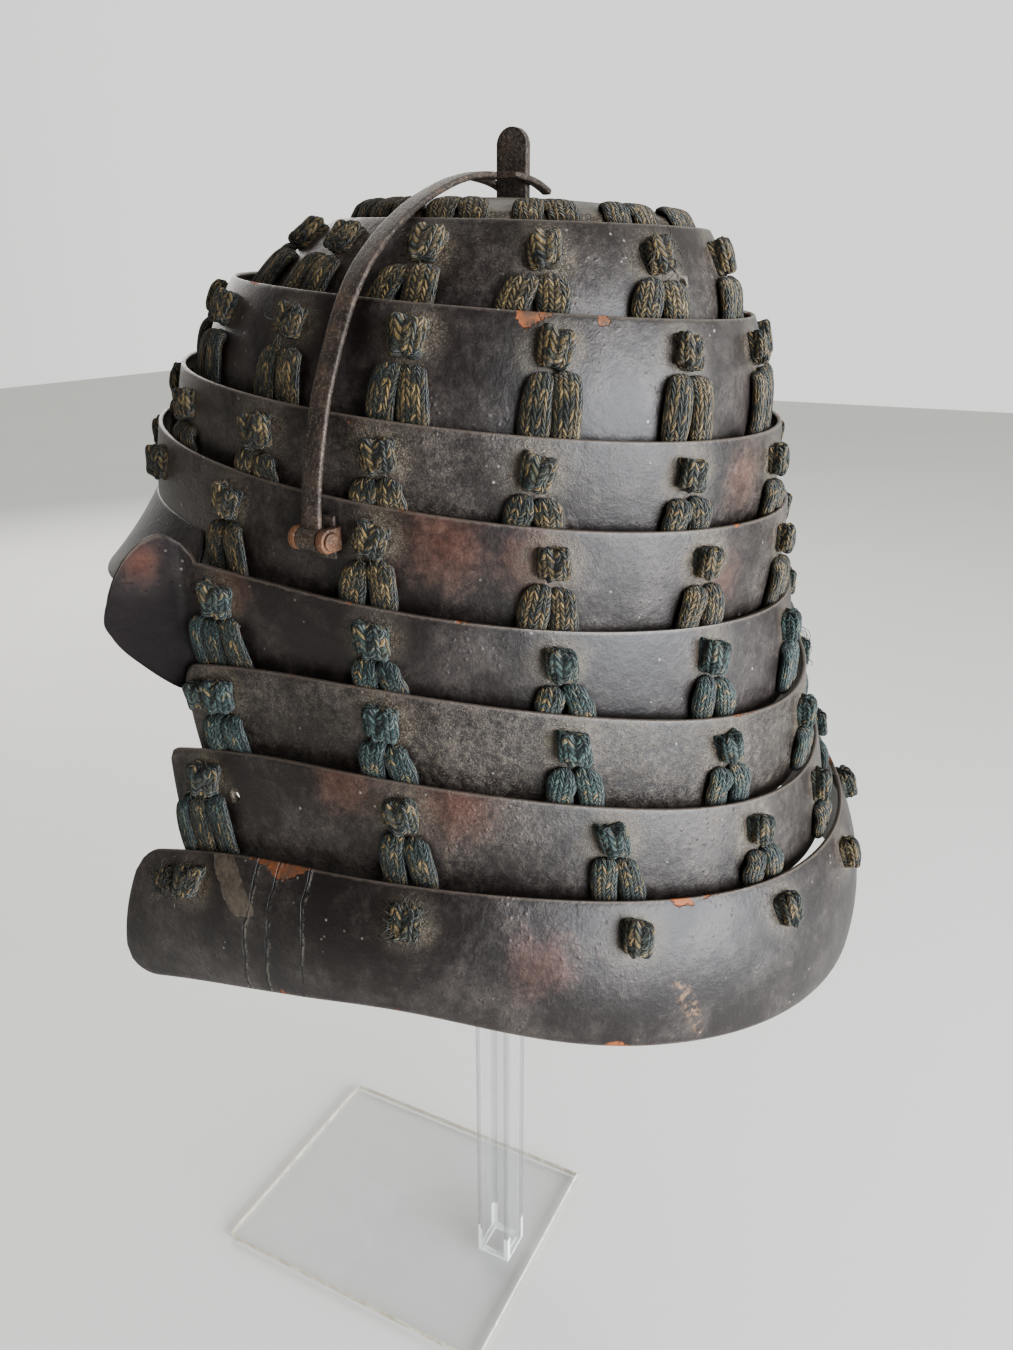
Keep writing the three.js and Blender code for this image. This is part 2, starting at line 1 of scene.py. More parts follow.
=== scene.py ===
# A folding lantern-style kabuto: a crown plate and eight lacquered iron lames hung from each other on
# braided lacing, a hinged iron strut that props the bowl open, and a clear acrylic stand.
# Sizes are in millimetres until a mesh is placed, which turns them into metres.

import math
import random

import bpy
import numpy as np
from mathutils import Matrix, Vector


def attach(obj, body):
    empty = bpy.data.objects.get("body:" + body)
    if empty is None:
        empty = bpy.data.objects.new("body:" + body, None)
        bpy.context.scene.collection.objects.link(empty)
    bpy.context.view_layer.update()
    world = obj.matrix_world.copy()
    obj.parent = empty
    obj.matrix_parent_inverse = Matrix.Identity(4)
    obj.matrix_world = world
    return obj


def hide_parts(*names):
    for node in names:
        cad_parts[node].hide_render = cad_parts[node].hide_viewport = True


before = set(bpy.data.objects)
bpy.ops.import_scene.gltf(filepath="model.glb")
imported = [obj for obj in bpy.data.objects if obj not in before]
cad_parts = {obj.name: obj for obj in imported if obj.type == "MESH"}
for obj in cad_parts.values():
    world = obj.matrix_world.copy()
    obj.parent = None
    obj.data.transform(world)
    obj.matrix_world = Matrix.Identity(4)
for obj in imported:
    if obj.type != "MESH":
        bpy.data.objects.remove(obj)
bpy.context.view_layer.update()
bpy.ops.object.select_all(action="DESELECT")

# ---- crown plate ----
# A shallow iron dome, about a hand across, that the whole helmet hangs from. It was hammered from one
# sheet, lacquered brown-black, and has gathered pale dust since; a slot in its middle takes the tab.

MM = 0.001
MERGE_REACH = 0.01 * MM
WALL = 1.6
LACE_GAP = 4.8
HELMET_Y = 57
CROWN_RISE = 8.4
CROWN_BACK = 6

# Each lame's top edge: height at its sides, forward shift, half length, half width, rise to the front
# per mm, droop at 100 mm, roundness of its middle, and how far forward the open ones run. Lean, spread
# and ends move its columns of lacing back, away from the sides, and forward at the guard's front.
LAMES = [
    {"top": 496.3, "shift": -9.5, "length": 65, "width": 61.2, "tilt": 0.031, "droop": 0, "round": 2.6,
     "lean": -0.15},
    {"top": 474.7, "shift": 2.7, "length": 93.9, "width": 84.6, "tilt": 0.077, "droop": 0, "round": 2.6,
     "spread": -0.035},
    {"top": 443.7, "shift": 8, "length": 110.5, "width": 99.3, "tilt": 0.098, "droop": 0, "round": 1.0,
     "spread": -0.07},
    {"top": 420.6, "shift": 11.8, "length": 119.6, "width": 104.4, "tilt": 0.117, "droop": 0, "round": 1.0,
     "lean": -0.022},
    {"top": 391.6, "shift": 15.5, "length": 127.4, "width": 111, "tilt": 0.096, "droop": 2, "round": 0.8,
     "forward": 36.5},
    {"top": 365, "shift": 11, "length": 131.4, "width": 115.5, "tilt": -0.02, "droop": 13, "round": 0.8,
     "forward": 46, "ends": 0.015},
    {"top": 337.5, "shift": 8.2, "length": 136.1, "width": 120, "tilt": -0.04, "droop": 14, "round": 0.8,
     "forward": 56, "spread": 0.065, "ends": 0.05},
    {"top": 305.5, "shift": 3, "length": 142.3, "width": 127.2, "tilt": -0.09, "droop": 13, "round": 4,
     "forward": 73, "spread": 0.075, "ends": 0.07},
]

# The dome's profile: share of its half length and half width, and height above its rim.
CROWN_SHARES = (0.0, 0.2, 0.45, 0.62, 0.78, 0.87, 0.96, 1.0, 1.02)
CROWN_RISES = (8.4, 8.2, 7.4, 6.5, 5.2, 4.1, 2.2, -0.6, -8.0)


def edge_point(lame, angle, inset=0.0, drop=0.0):
    """A point on a lame's top edge, at an angle from the front that grows towards the wearer's left."""
    along = (lame["length"] - inset) * np.cos(angle)
    is_ahead = (along > 0) & ("forward" in lame)
    side = (lame["width"] - inset) * np.where(is_ahead, np.sign(np.sin(angle)), np.sin(angle))
    height = lame["top"] + lame["tilt"] * along - lame["droop"] * (along / 100) ** 2 - drop
    return np.stack([side, HELMET_Y - lame["shift"] - along, height], axis=-1)


def crown_point(angle, share):
    """A point on the dome: share 0 is its middle and share 1 the bottom of its rim."""
    reach = np.interp(share, np.linspace(0, 1, len(CROWN_SHARES)), CROWN_SHARES)
    rise = np.interp(share, np.linspace(0, 1, len(CROWN_RISES)), CROWN_RISES)
    rim = edge_point(LAMES[0], angle, WALL + LACE_GAP)
    middle = np.array([0, HELMET_Y + CROWN_BACK, LAMES[0]["top"]])
    return middle + (rim - middle) * reach[..., None] + rise[..., None] * np.array([0, 0, 1])


def merge_points(reach=MERGE_REACH):
    """Merges the doubled points of the active mesh."""
    bpy.ops.object.mode_set(mode="EDIT")
    bpy.ops.mesh.select_all(action="SELECT")
    bpy.ops.mesh.remove_doubles(threshold=reach)
    bpy.ops.object.mode_set(mode="OBJECT")


def shaped_sheet(name, columns, rows, place, is_ring=False):
    """A grid whose points place(u, v) puts, in millimetres; u runs round and v runs down, both 0 to 1."""
    bpy.ops.object.select_all(action="DESELECT")
    bpy.ops.mesh.primitive_grid_add(x_subdivisions=columns, y_subdivisions=rows, size=2)
    sheet = bpy.context.object
    sheet.name = name
    sheet.data.name = name
    flat = np.zeros(len(sheet.data.vertices) * 3)
    sheet.data.vertices.foreach_get("co", flat)
    flat = flat.reshape(-1, 3)
    points = place((flat[:, 0] + 1) / 2, (1 - flat[:, 1]) / 2) * MM
    sheet.data.vertices.foreach_set("co", points.ravel())
    sheet.data.update()
    if is_ring:
        merge_points()
    return sheet


def apply_modifier(piece, kind, **settings):
    bpy.ops.object.select_all(action="DESELECT")
    piece.select_set(True)
    bpy.context.view_layer.objects.active = piece
    modifier = piece.modifiers.new(kind.title(), kind)
    for key, value in settings.items():
        setattr(modifier, key, value)
    bpy.ops.object.modifier_apply(modifier=modifier.name)


def ease_edges(piece, width, segments=2):
    """Rounds a piece's sharp edges."""
    limit = {"limit_method": "ANGLE", "angle_limit": math.radians(50)}
    apply_modifier(piece, "BEVEL", width=width * MM, segments=segments, **limit)


def thicken(piece):
    """Gives a shaped sheet its wall, inwards, and rounds the wall's edges."""
    apply_modifier(piece, "SOLIDIFY", thickness=WALL * MM, offset=-1)
    ease_edges(piece, 0.5)
    bpy.ops.object.shade_smooth_by_angle(angle=math.radians(50))


def store(piece, name, values):
    """Keeps a number for each point of the mesh, or one for all, for its material to read."""
    attribute = piece.data.attributes.new(name, "FLOAT", "POINT")
    attribute.data.foreach_set("value", np.full(len(piece.data.vertices), values, np.float32))


def read_points(piece):
    flat = np.zeros(len(piece.data.vertices) * 3)
    piece.data.vertices.foreach_get("co", flat)
    return flat.reshape(-1, 3) / MM


class Wire:
    """A socket in a material; sums on it add Math nodes."""

    def __init__(self, tree, socket=None):
        self.tree = tree
        self.socket = socket

    def node(self, kind, settings=None, inputs=None, output=0):
        made = self.tree.nodes.new(kind)
        for key, value in (settings or {}).items():
            if key == "stops":
                while len(made.color_ramp.elements) < len(value):
                    made.color_ramp.elements.new(1.0)
                for element, (position, colour) in zip(made.color_ramp.elements, value):
                    element.position = position
                    element.color = (*colour, 1)
            else:
                setattr(made, key, value)
        for key, value in (inputs or {}).items():
            if isinstance(value, Wire):
                self.tree.links.new(value.socket, made.inputs[key])
            else:
                made.inputs[key].default_value = value
        return Wire(self.tree, made.outputs[output])

    def place(self):
        return self.node("ShaderNodeTexCoord", output="Object")

    def attribute(self, name):
        return self.node("ShaderNodeAttribute", {"attribute_name": name}, output="Fac")

    def axis(self, number):
        return self.node("ShaderNodeSeparateXYZ", {}, {0: self}, output=number)

    def moved(self, shift):
        return self.node("ShaderNodeMapping", {}, {"Vector": self, "Location": shift})

    def math(self, operation, *others):
        return self.node("ShaderNodeMath", {"operation": operation}, dict(enumerate((self, *others))))

    def __add__(self, other):
        return self.math("ADD", other)

    def __sub__(self, other):
        return self.math("SUBTRACT", other)

    def __rsub__(self, other):
        return self.node("ShaderNodeMath", {"operation": "SUBTRACT"}, {0: other, 1: self})

    def __mul__(self, other):
        return self.math("MULTIPLY", other)

    __radd__ = __add__
    __rmul__ = __mul__

    def band(self, low, high):
        """Rises smoothly from 0 at low to 1 at high, or falls where low is the larger."""
        span = {"Value": self, "From Min": low, "From Max": high}
        return self.node("ShaderNodeMapRange", {"interpolation_type": "SMOOTHSTEP"}, span)

    def noise(self, scale, detail=3.0, roughness=0.55):
        inputs = {"Vector": self, "Scale": scale, "Detail": detail, "Roughness": roughness}
        return self.node("ShaderNodeTexNoise", {}, inputs)

    def cells(self, scale):
        return self.node("ShaderNodeTexVoronoi", {}, {"Vector": self, "Scale": scale})

    def ramp(self, stops):
        return self.node("ShaderNodeValToRGB", {"stops": stops}, {0: self})

    def blend(self, under, over):
        """Mixes two colours by this value."""
        colours = [c if isinstance(c, Wire) else (*c, 1) for c in (under, over)]
        inputs = {0: self, 6: colours[0], 7: colours[1]}
        return self.node("ShaderNodeMix", {"data_type": "RGBA"}, inputs, output=2)


def finish_material(colour, roughness, height=None, depth=0.0, **settings):
    """Joins colour, roughness and bump to the shader, and settings to its other sockets."""
    shader = colour.tree.nodes["Principled BSDF"]
    inputs = {"Base Color": colour, "Roughness": roughness, **settings}
    if height is not None:
        bump = {"Height": height, "Distance": depth, "Strength": 1.0}
        inputs["Normal"] = colour.node("ShaderNodeBump", {}, bump)
    for key, value in inputs.items():
        socket = shader.inputs[key.replace("_", " ")]
        if isinstance(value, Wire):
            colour.tree.links.new(value.socket, socket)
        else:
            socket.default_value = value


def start_material(name):
    material = bpy.data.materials.new(name)
    material.use_nodes = True
    return material, Wire(material.node_tree)


LACQUER_DARK = (0.014, 0.0088, 0.0078)
LACQUER_GREY = (0.047, 0.037, 0.035)
LACQUER_RED = (0.120, 0.042, 0.026)
DUST = (0.250, 0.205, 0.150)
WORN_EDGE_AND_RIM_HIGHLIGHT = (0.15, 0.118, 0.095)
BARE_CLAY = (0.27, 0.086, 0.028)
OLD_CLAY = (0.085, 0.050, 0.032)
PALE_SPECK = (0.40, 0.37, 0.32)
FLAP_SHADE_COLOUR = (0.009, 0.006, 0.006)


def lacquer(name, shift, redness=0.0, dustiness=0.0, chips=(), damage=None):
    """Old lacquer on iron: brown-black with grey bloom, red wear, fine dust, chips along its edges, a pale
    worn band at its free edge that is partly a painted rim highlight, and painted shade on the flaps.
    """
    material, wire = start_material(name)
    place = wire.place()
    spot = place.moved(shift)
    edge = wire.attribute("edge")
    knot = wire.attribute("knot")
    warm = wire.attribute("warm")
    soot = wire.attribute("soot")

    broad = spot.noise(14, 4, 0.62)
    middle = spot.noise(60, 5, 0.68)
    fine = spot.noise(380, 5, 0.75)
    grain = spot.noise(1900, 2, 0.6)

    bloom = (broad + (middle - 0.5) * 0.9 + (fine - 0.5) * 0.35).band(0.36, 0.72)
    colour = bloom.blend(LACQUER_DARK, LACQUER_GREY)
    reddish = warm * 0.8 + (broad - 0.5) * 0.6 + (middle - 0.5) * 1.3 + (fine - 0.5) * 0.9 + redness
    colour = (reddish.band(0.2, 1.3) * 0.75).blend(colour, LACQUER_RED)

    halo = (knot + (middle - 0.5) * 16 + (fine - 0.5) * 6).band(13.0, 4.0)
    settled = (middle * 0.7 + halo * 0.5 + dustiness + (broad - 0.5) * 0.7).band(0.30, 1.15)
    speckle = fine.band(0.42, 0.66) * 0.45 + grain.band(0.50, 0.70) * 0.75
    dust = settled * speckle
    colour = (dust * 0.85 + halo * 0.17).blend(colour, DUST)

    specks = spot.cells(260.0)
    speck = specks.band(0.16, 0.09) * spot.noise(90, 2).band(0.58, 0.66)
    colour = (speck * 0.6).blend(colour, PALE_SPECK)

    # The pale band along the free edge is worn lacquer and, in part, a painted highlight on the rolled rim.
    wear = (edge + (fine - 0.5) * 2.2).band(1.1, 0.2)
    colour = (wear * 0.55).blend(colour, WORN_EDGE_AND_RIM_HIGHLIGHT)
    chip = (edge + (middle - 0.5) * 14).band(0.3, -0.6) * spot.noise(45, 2).band(0.64, 0.67)
    for centre, reach in chips:
        ends = {0: place, 1: centre}
        away = wire.node("ShaderNodeVectorMath", {"operation": "DISTANCE"}, ends, output=1) * (1 / MM)
        bite = (away + (fine - 0.5) * 3.4 + (middle - 0.5) * 9).band(reach, reach - 0.3)
        chip = chip.math("MAXIMUM", bite)
    clay = ((middle - 0.5) * 2.2 + fine).band(0.35, 0.75).blend(BARE_CLAY, OLD_CLAY)
    colour = chip.blend(colour, clay)

    # Painted shade on the turned-out flaps: their colour is darkened towards near-black, and roughness and
    # metallic below rise to dim their sheen too.
    colour = (soot * (0.85 - warm * 0.7)).blend(colour, FLAP_SHADE_COLOUR)
    roughness = 0.34 + 0.30 * dust + 0.14 * fine + 0.25 * chip + 0.22 * soot
    pimples = spot.cells(420.0)
    pimple = pimples.band(0.34, 0.08) * (broad + (middle - 0.5) * 0.8).band(0.47, 0.66)
    height = middle * 0.42 + fine * 0.20 + pimple * 0.16 + dust * 0.10 - chip * 0.35
    if damage is not None:
        colour, height = damage(wire, spot, colour, height)
    metal = 0.2 + 0.6 * soot
    finish_material(colour, roughness, height, 0.0010, Metallic=metal, Specular_IOR_Level=0.62)
    return material


crown = shaped_sheet("crown_dome", 168, 36, lambda u, v: crown_point(u * 2 * math.pi, 0.02 + 0.98 * v), True)
store(crown, "edge", 20)
store(crown, "knot", 9)
store(crown, "warm", 0)
thicken(crown)
crown.data.materials.append(lacquer("crown_lacquer", (0.3, 0.1, 0.0), -0.1, 0.75))
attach(crown, "root")
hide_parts("crown_plate")

# ---- closed lames ----
# Three upper rings and the waist ring, each of thin lacquered iron. A ring's top edge stands outside the
# ring above it, and its lower edge hangs inside the one below, so the bowl can fold flat.

COLUMNS = 14
STEP = 2 * math.pi / COLUMNS
GUARD_FIRST = 3
OPEN_FROM = 4
OVERLAP = 8
HOLE_DROP = 10
GUARD_DEPTH = 47.5
GUARD_DIP = 7
GUARD_DIP_ANGLE = 1.81
GUARD_DIP_SPREAD = 0.3
GUARD_FLARE = 9
FEWEST_ROWS = 14
ROW_DEPTH = 1.8


def lame_point(index, angle, share):
    """A point on the outside of a lame, from its top edge at share 0 to its lower edge at share 1."""
    lame = LAMES[index]
    upper = edge_point(lame, angle)
    if index == len(LAMES) - 1:
        from_front = np.abs(np.arctan2(np.sin(angle), np.cos(angle)))
        dip = GUARD_DIP * np.exp(-((from_front - GUARD_DIP_ANGLE) / GUARD_DIP_SPREAD) ** 2)
        lower = edge_point(lame, angle, -GUARD_FLARE, GUARD_DEPTH - dip)
    else:
        below = dict(LAMES[index + 1])
        if index < OPEN_FROM:
            below.pop("forward", None)
        lower = edge_point(below, angle, WALL + LACE_GAP, OVERLAP)
    share = np.asarray(share)[..., None]
    stand = lame["round"] * 4 * share * (1 - share)
    away = np.stack([np.sin(angle), -np.cos(angle), np.zeros_like(angle)], axis=-1)
    uneven = 0.35 * np.sin(3 * angle + 2.1 * index) + 0.25 * np.sin(7 * angle + 1.3 * index)
    return upper + (lower - upper) * share + away * (stand + uneven[..., None])


def lame_length(index, angle):
    angle = np.asarray(angle, float)
    gap = lame_point(index, angle, np.zeros_like(angle)) - lame_point(index, angle, np.ones_like(angle))
    return np.linalg.norm(gap, axis=-1)


def lame_rows(index):
    """How many rows of faces a lame's mesh has, from its depth a little behind its side."""
    return max(FEWEST_ROWS, int(lame_length(index, 2.0) / ROW_DEPTH))


def column_angle(index, column):
    lame = LAMES[max(index, 0)]
    angle = column * STEP
    ends = {GUARD_FIRST: -1, COLUMNS - GUARD_FIRST: 1}.get(column, 0) * lame.get("ends", 0)
    return angle + lame.get("lean", 0) * math.sin(angle) - lame.get("spread", 0) * math.sin(2 * angle) + ends


# Where the lacquer has worn red: lame, degrees from the front, share down from its edge, and reach.
WARM = [(3, 112, 0.2, 20), (3, 124, 0.25, 15), (3, 158, 0.4, 15), (2, 166, 0.4, 13), (6, 96, 0.1, 14),
        (6, 112, 0.1, 14), (7, 121, 0.4, 15), (4, 80, 0.1, 12), (0, 226, 0.4, 20), (1, 292, 0.4, 24),
        (3, 250, 0.3, 24), (5, 216, 0.3, 26), (7, 236, 0.4, 22)]
# Where it has come away to the clay ground: lame, degrees, depth below its edge, and reach.
CHIPS = [(0, 118, 8, 2.0), (0, 121.5, 11.5, 2.2), (1, 122, 1.6, 3.3), (1, 136, 2, 2.3), (1, 125, 0.3, 2.4),
         (4, 100, 0, 1.3), (2, 252, 1, 2.6), (6, 301, 1, 2.8), (7, 283, 1.5, 3.6), (0, 300, 2, 2.4)]


def lame_marks(piece, index, angles, shares):
    """Keeps each point's distance from the free edge and the nearest knot, and where its lacquer has worn."""
    depth = shares * lame_length(index, angles)
    edge = depth
    if index == len(LAMES) - 1:
        edge = np.minimum(edge, lame_length(index, angles) - depth)
    points = read_points(piece)
    knot = np.full(len(angles), 90.0)
    lasts = range(GUARD_FIRST, COLUMNS - GUARD_FIRST + 1) if index >= OPEN_FROM else range(COLUMNS)
    for column in lasts:
        angle = np.array(column_angle(index, column))
        at = lame_point(index, angle, HOLE_DROP / lame_length(index, angle))
        knot = np.minimum(knot, np.linalg.norm(points - at, axis=-1))
    warm = np.zeros(len(angles))
    for where, degrees, share, reach in WARM:
        if where == index:
            at = lame_point(index, np.array(math.radians(degrees)), np.array(share))
            warm = np.maximum(warm, np.exp(-(np.linalg.norm(points - at, axis=-1) / reach) ** 2))
    store(piece, "edge", edge)
    store(piece, "knot", knot)
    store(piece, "warm", warm)


# Spare lacing holes that nothing passes through: lame, angle of the hole in degrees, and depth.
SPARE_HOLES = {0: (158.5, 17.5), 6: (77.5, 15.5)}
SPARE_HOLE_RADIUS = 1.5


def drill_spare_hole(piece, index):
    degrees, drop = SPARE_HOLES[index]
    angle = np.array(math.radians(degrees))
    at = Vector(lame_point(index, angle, drop / lame_length(index, angle)))
    outward = Vector((math.sin(angle), -math.cos(angle), 0))
    bpy.ops.object.select_all(action="DESELECT")
    bpy.ops.mesh.primitive_cylinder_add(vertices=24, radius=SPARE_HOLE_RADIUS * MM, depth=12 * MM)
    drill = bpy.context.object
    drill.data.transform(outward.to_track_quat("Z", "Y").to_matrix().to_4x4())
    drill.data.transform(Matrix.Translation(at * MM))
    apply_modifier(piece, "BOOLEAN", object=drill, operation="DIFFERENCE", solver="EXACT")
    bpy.data.objects.remove(drill)


# How red and how dusty each lame is.
LAME_RED = (-0.05, -0.15, 0.05, 0.02, -0.05, -0.05, 0.05, -0.02)
LAME_DUST = (0.20, 0.10, 0.24, 0.16, 0.08, 0.36, 0.22, 0.12)


def finish_lame(piece, index, node, damage=None):
    thicken(piece)
    if index in SPARE_HOLES:
        drill_spare_hole(piece, index)
    shift = (0.11 * index, 0.23 * index, 0.07 * index)
    piece.data.materials.clear()
    chips = []
    for where, degrees, drop, reach in CHIPS:
        if where == index:
            angle = np.array(math.radians(degrees))
            chips.append((lame_point(index, angle, drop / lame_length(index, angle)) * MM, reach))
    wear = (LAME_RED[index], LAME_DUST[index], chips, damage)
    piece.data.materials.append(lacquer(f"lacquer_{index + 1}", shift, *wear))
    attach(piece, "root")
    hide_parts(node)


for index in range(OPEN_FROM):
    grid = []

    def on_ring(u, v, index=index, grid=grid):
        grid.append((u * 2 * math.pi, v))
        return lame_point(index, u * 2 * math.pi, v)

    ring = shaped_sheet(f"lame_ring_{index + 1}", 280, lame_rows(index), on_ring)
    lame_marks(ring, index, *grid[0])
    merge_points()
    finish_lame(ring, index, f"lame_{index + 1}")

# ---- visor ----
# The front of the waist lame turns out over the brow into a short peak, which thins away to nothing
# above the ears. It is of the same lacquered iron as the lame it grows from.

VISOR = {"start": 0.62, "vanish": 1.24, "span": 1.2, "drop": 34, "least": 0.4, "reach": 26.5, "curl": 0.25,
         "length": 36}


def visor_point(angle, share):
    size = np.sqrt(np.clip(1 - (np.abs(angle) / VISOR["vanish"]) ** 2, 0, 1))
    start = lame_point(OPEN_FROM - 1, angle, np.full_like(angle, VISOR["start"]))
    away = np.stack([np.sin(angle), -np.cos(angle), np.zeros_like(angle)], axis=-1)
    out = VISOR["reach"] * size * (share - VISOR["curl"] * share * (1 - share))
    down = VISOR["drop"] * (VISOR["least"] + (1 - VISOR["least"]) * size) * share
    return start + away * (out + 0.2)[..., None] - down[..., None] * np.array([0, 0, 1])


visor_grid = []


def on_visor(u, v):
    visor_grid.append(v)
    return visor_point((u * 2 - 1) * VISOR["span"], v)


visor = shaped_sheet("visor", 120, 22, on_visor)
store(visor, "edge", (1 - visor_grid[0]) * VISOR["length"])
store(visor, "knot", 40)
store(visor, "warm", 0)
thicken(visor)
visor.data.materials.append(lacquer("lacquer_visor", (0.7, 0.2, 0.5), -0.1, 0.05))
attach(visor, "root")

# ---- lame with the turned-out flaps ----
# The first lame of the open neck guard. Its two front ends turn out and back into rounded flaps that
# once carried a crest of rank; here they are bare, worn lacquer, darkened with painted shade.

FLAP_TURN = 1.05
FLAP_BEND = 7
FLAP_STEPS = 24
FLAP_EASE = 1.6
FLAP_SHARE = 0.075
FLAP_WARM = (17, 0.12, 9)
FLAP_REACH = (4, 6.5, 9, 12.5, 16, 19, 22, 24.5, 26.5, 28, 29.2, 29.8)
FLAP_TOP = (9, 12, 13, 12.8, 11.2, 9, 5.8, 2.2, -1.6, -5.2, -9.2, -13)
FLAP_BOTTOM = (-39, -40.2, -39.6, -36.6, -33.4, -30.2, -27, -24.2, -21.6, -19, -16.4, -14)


def flap_point(reach, share, side):
    """A point on a flap: how far out from its fold, and the share down from its top edge."""
    lame = LAMES[OPEN_FROM]
    steps = (np.arange(FLAP_STEPS) + 0.5) / FLAP_STEPS
    heading = FLAP_TURN * np.minimum(1, steps * reach[:, None] / FLAP_BEND)
    across = (np.sin(heading) * reach[:, None] / FLAP_STEPS).sum(axis=1)
    ahead = (np.cos(heading) * reach[:, None] / FLAP_STEPS).sum(axis=1)
    spread = FLAP_EASE * np.minimum(1, (FLAP_REACH[-1] - reach) / FLAP_EASE)
    near = reach + spread * np.array([[-1], [0], [1]])
    top = np.interp(near, FLAP_REACH, FLAP_TOP).mean(axis=0)
    bottom = np.interp(near, FLAP_REACH, FLAP_BOTTOM).mean(axis=0)
    height = lame["top"] + top + (bottom - top) * share
    x = side * (lame["width"] + across)
    y = HELMET_Y - lame["shift"] - lame["forward"] - ahead
    return np.stack([x, y, height], axis=-1)


flap_grid = []


def on_flap_lame(u, v):
    lame = LAMES[OPEN_FROM]
    start = math.acos(lame["forward"] / lame["length"])
    inner = np.clip((u - FLAP_SHARE) / (1 - 2 * FLAP_SHARE), 0, 1)
    angle = start + (2 * math.pi - 2 * start) * inner
    body = lame_point(OPEN_FROM, angle, v)
    outside = np.maximum(np.maximum(FLAP_SHARE - u, u - 1 + FLAP_SHARE) / FLAP_SHARE, 0)
    reach = np.sin(outside * math.pi / 2) * FLAP_REACH[-1]
    flap_grid.append((angle, v, reach))
    flap = flap_point(np.maximum(reach, 0.01), v, np.where(u < 0.5, 1, -1))
    ease = np.clip(reach / FLAP_REACH[0], 0, 1)[:, None]
    return body * (1 - ease) + flap * ease


flap_lame = shaped_sheet("lame_with_flaps", 320, 24, on_flap_lame)
angles, shares, reach = flap_grid[0]
lame_marks(flap_lame, OPEN_FROM, angles, shares)
warm_reach, warm_share, warm_size = FLAP_WARM
rusted = flap_point(np.array([warm_reach]), np.array([warm_share]), 1)
away = np.linalg.norm(read_points(flap_lame) - rusted, axis=-1)
stored = flap_lame.data.attributes["warm"].data
warmth = np.zeros(len(stored), np.float32)
stored.foreach_get("value", warmth)
stored.foreach_set("value", np.maximum(warmth, 1.1 * np.exp(-(away / warm_size) ** 2)).astype(np.float32))
# Painted shade on the flaps, rising from nothing at the fold to full a few millimetres out.
store(flap_lame, "soot", np.clip(reach / FLAP_BEND, 0, 1))
finish_lame(flap_lame, OPEN_FROM, "lame_5")

# ---- open lames of the neck guard ----
# Three more lames that leave the face clear. Their front corners are rounded, and the last and deepest
# one flares out over the shoulders.

CORNERS = {5: (6, 3), 6: (4, 3), 7: (8, 13)}


def on_guard(index, grid):
    lame = LAMES[index]
    start = math.acos(lame["forward"] / lame["length"])
    top_corner, low_corner = CORNERS[index]

    def place(u, v):
        angle = start + (2 * math.pi - 2 * start) * u
        to_end = lame["forward"] - lame["length"] * np.cos(angle)
        length = lame_length(index, angle)
        top_in = np.clip(top_corner - to_end, 0, top_corner)
        low_in = np.clip(low_corner - to_end, 0, low_corner)
        top_cut = (top_corner - np.sqrt(top_corner ** 2 - top_in ** 2)) / length
        low_cut = (low_corner - np.sqrt(low_corner ** 2 - low_in ** 2)) / length
        share = top_cut + (1 - top_cut - low_cut) * v
        grid.append((angle, share))
        return lame_point(index, angle, share)

    return place


# Damage to the lowest lame, by distance along its top edge from its left front end, and its colours.
CRACKS = (55.0, 63.5, 76.5)
FLAKE_ALONG = 38
FLAKE_DEPTH = 9.5
END_CHIP_ALONG = 66
SCRAPE_ALONG = 184
# A crack's pale lip is a painted highlight, and the near-black line in its gap is painted shade.
CRACK_LIP_HIGHLIGHT = (0.22, 0.19, 0.155)
CRACK_GAP_SHADE = (0.003, 0.002, 0.002)
FLAKE_BEIGE = (0.17, 0.135, 0.10)
FLAKE_BROWN = (0.075, 0.058, 0.045)
END_CHIP_RED = (0.24, 0.080, 0.030)
END_CHIP_BROWN = (0.12, 0.064, 0.040)
SCRAPE_RUST = (0.26, 0.15, 0.085)


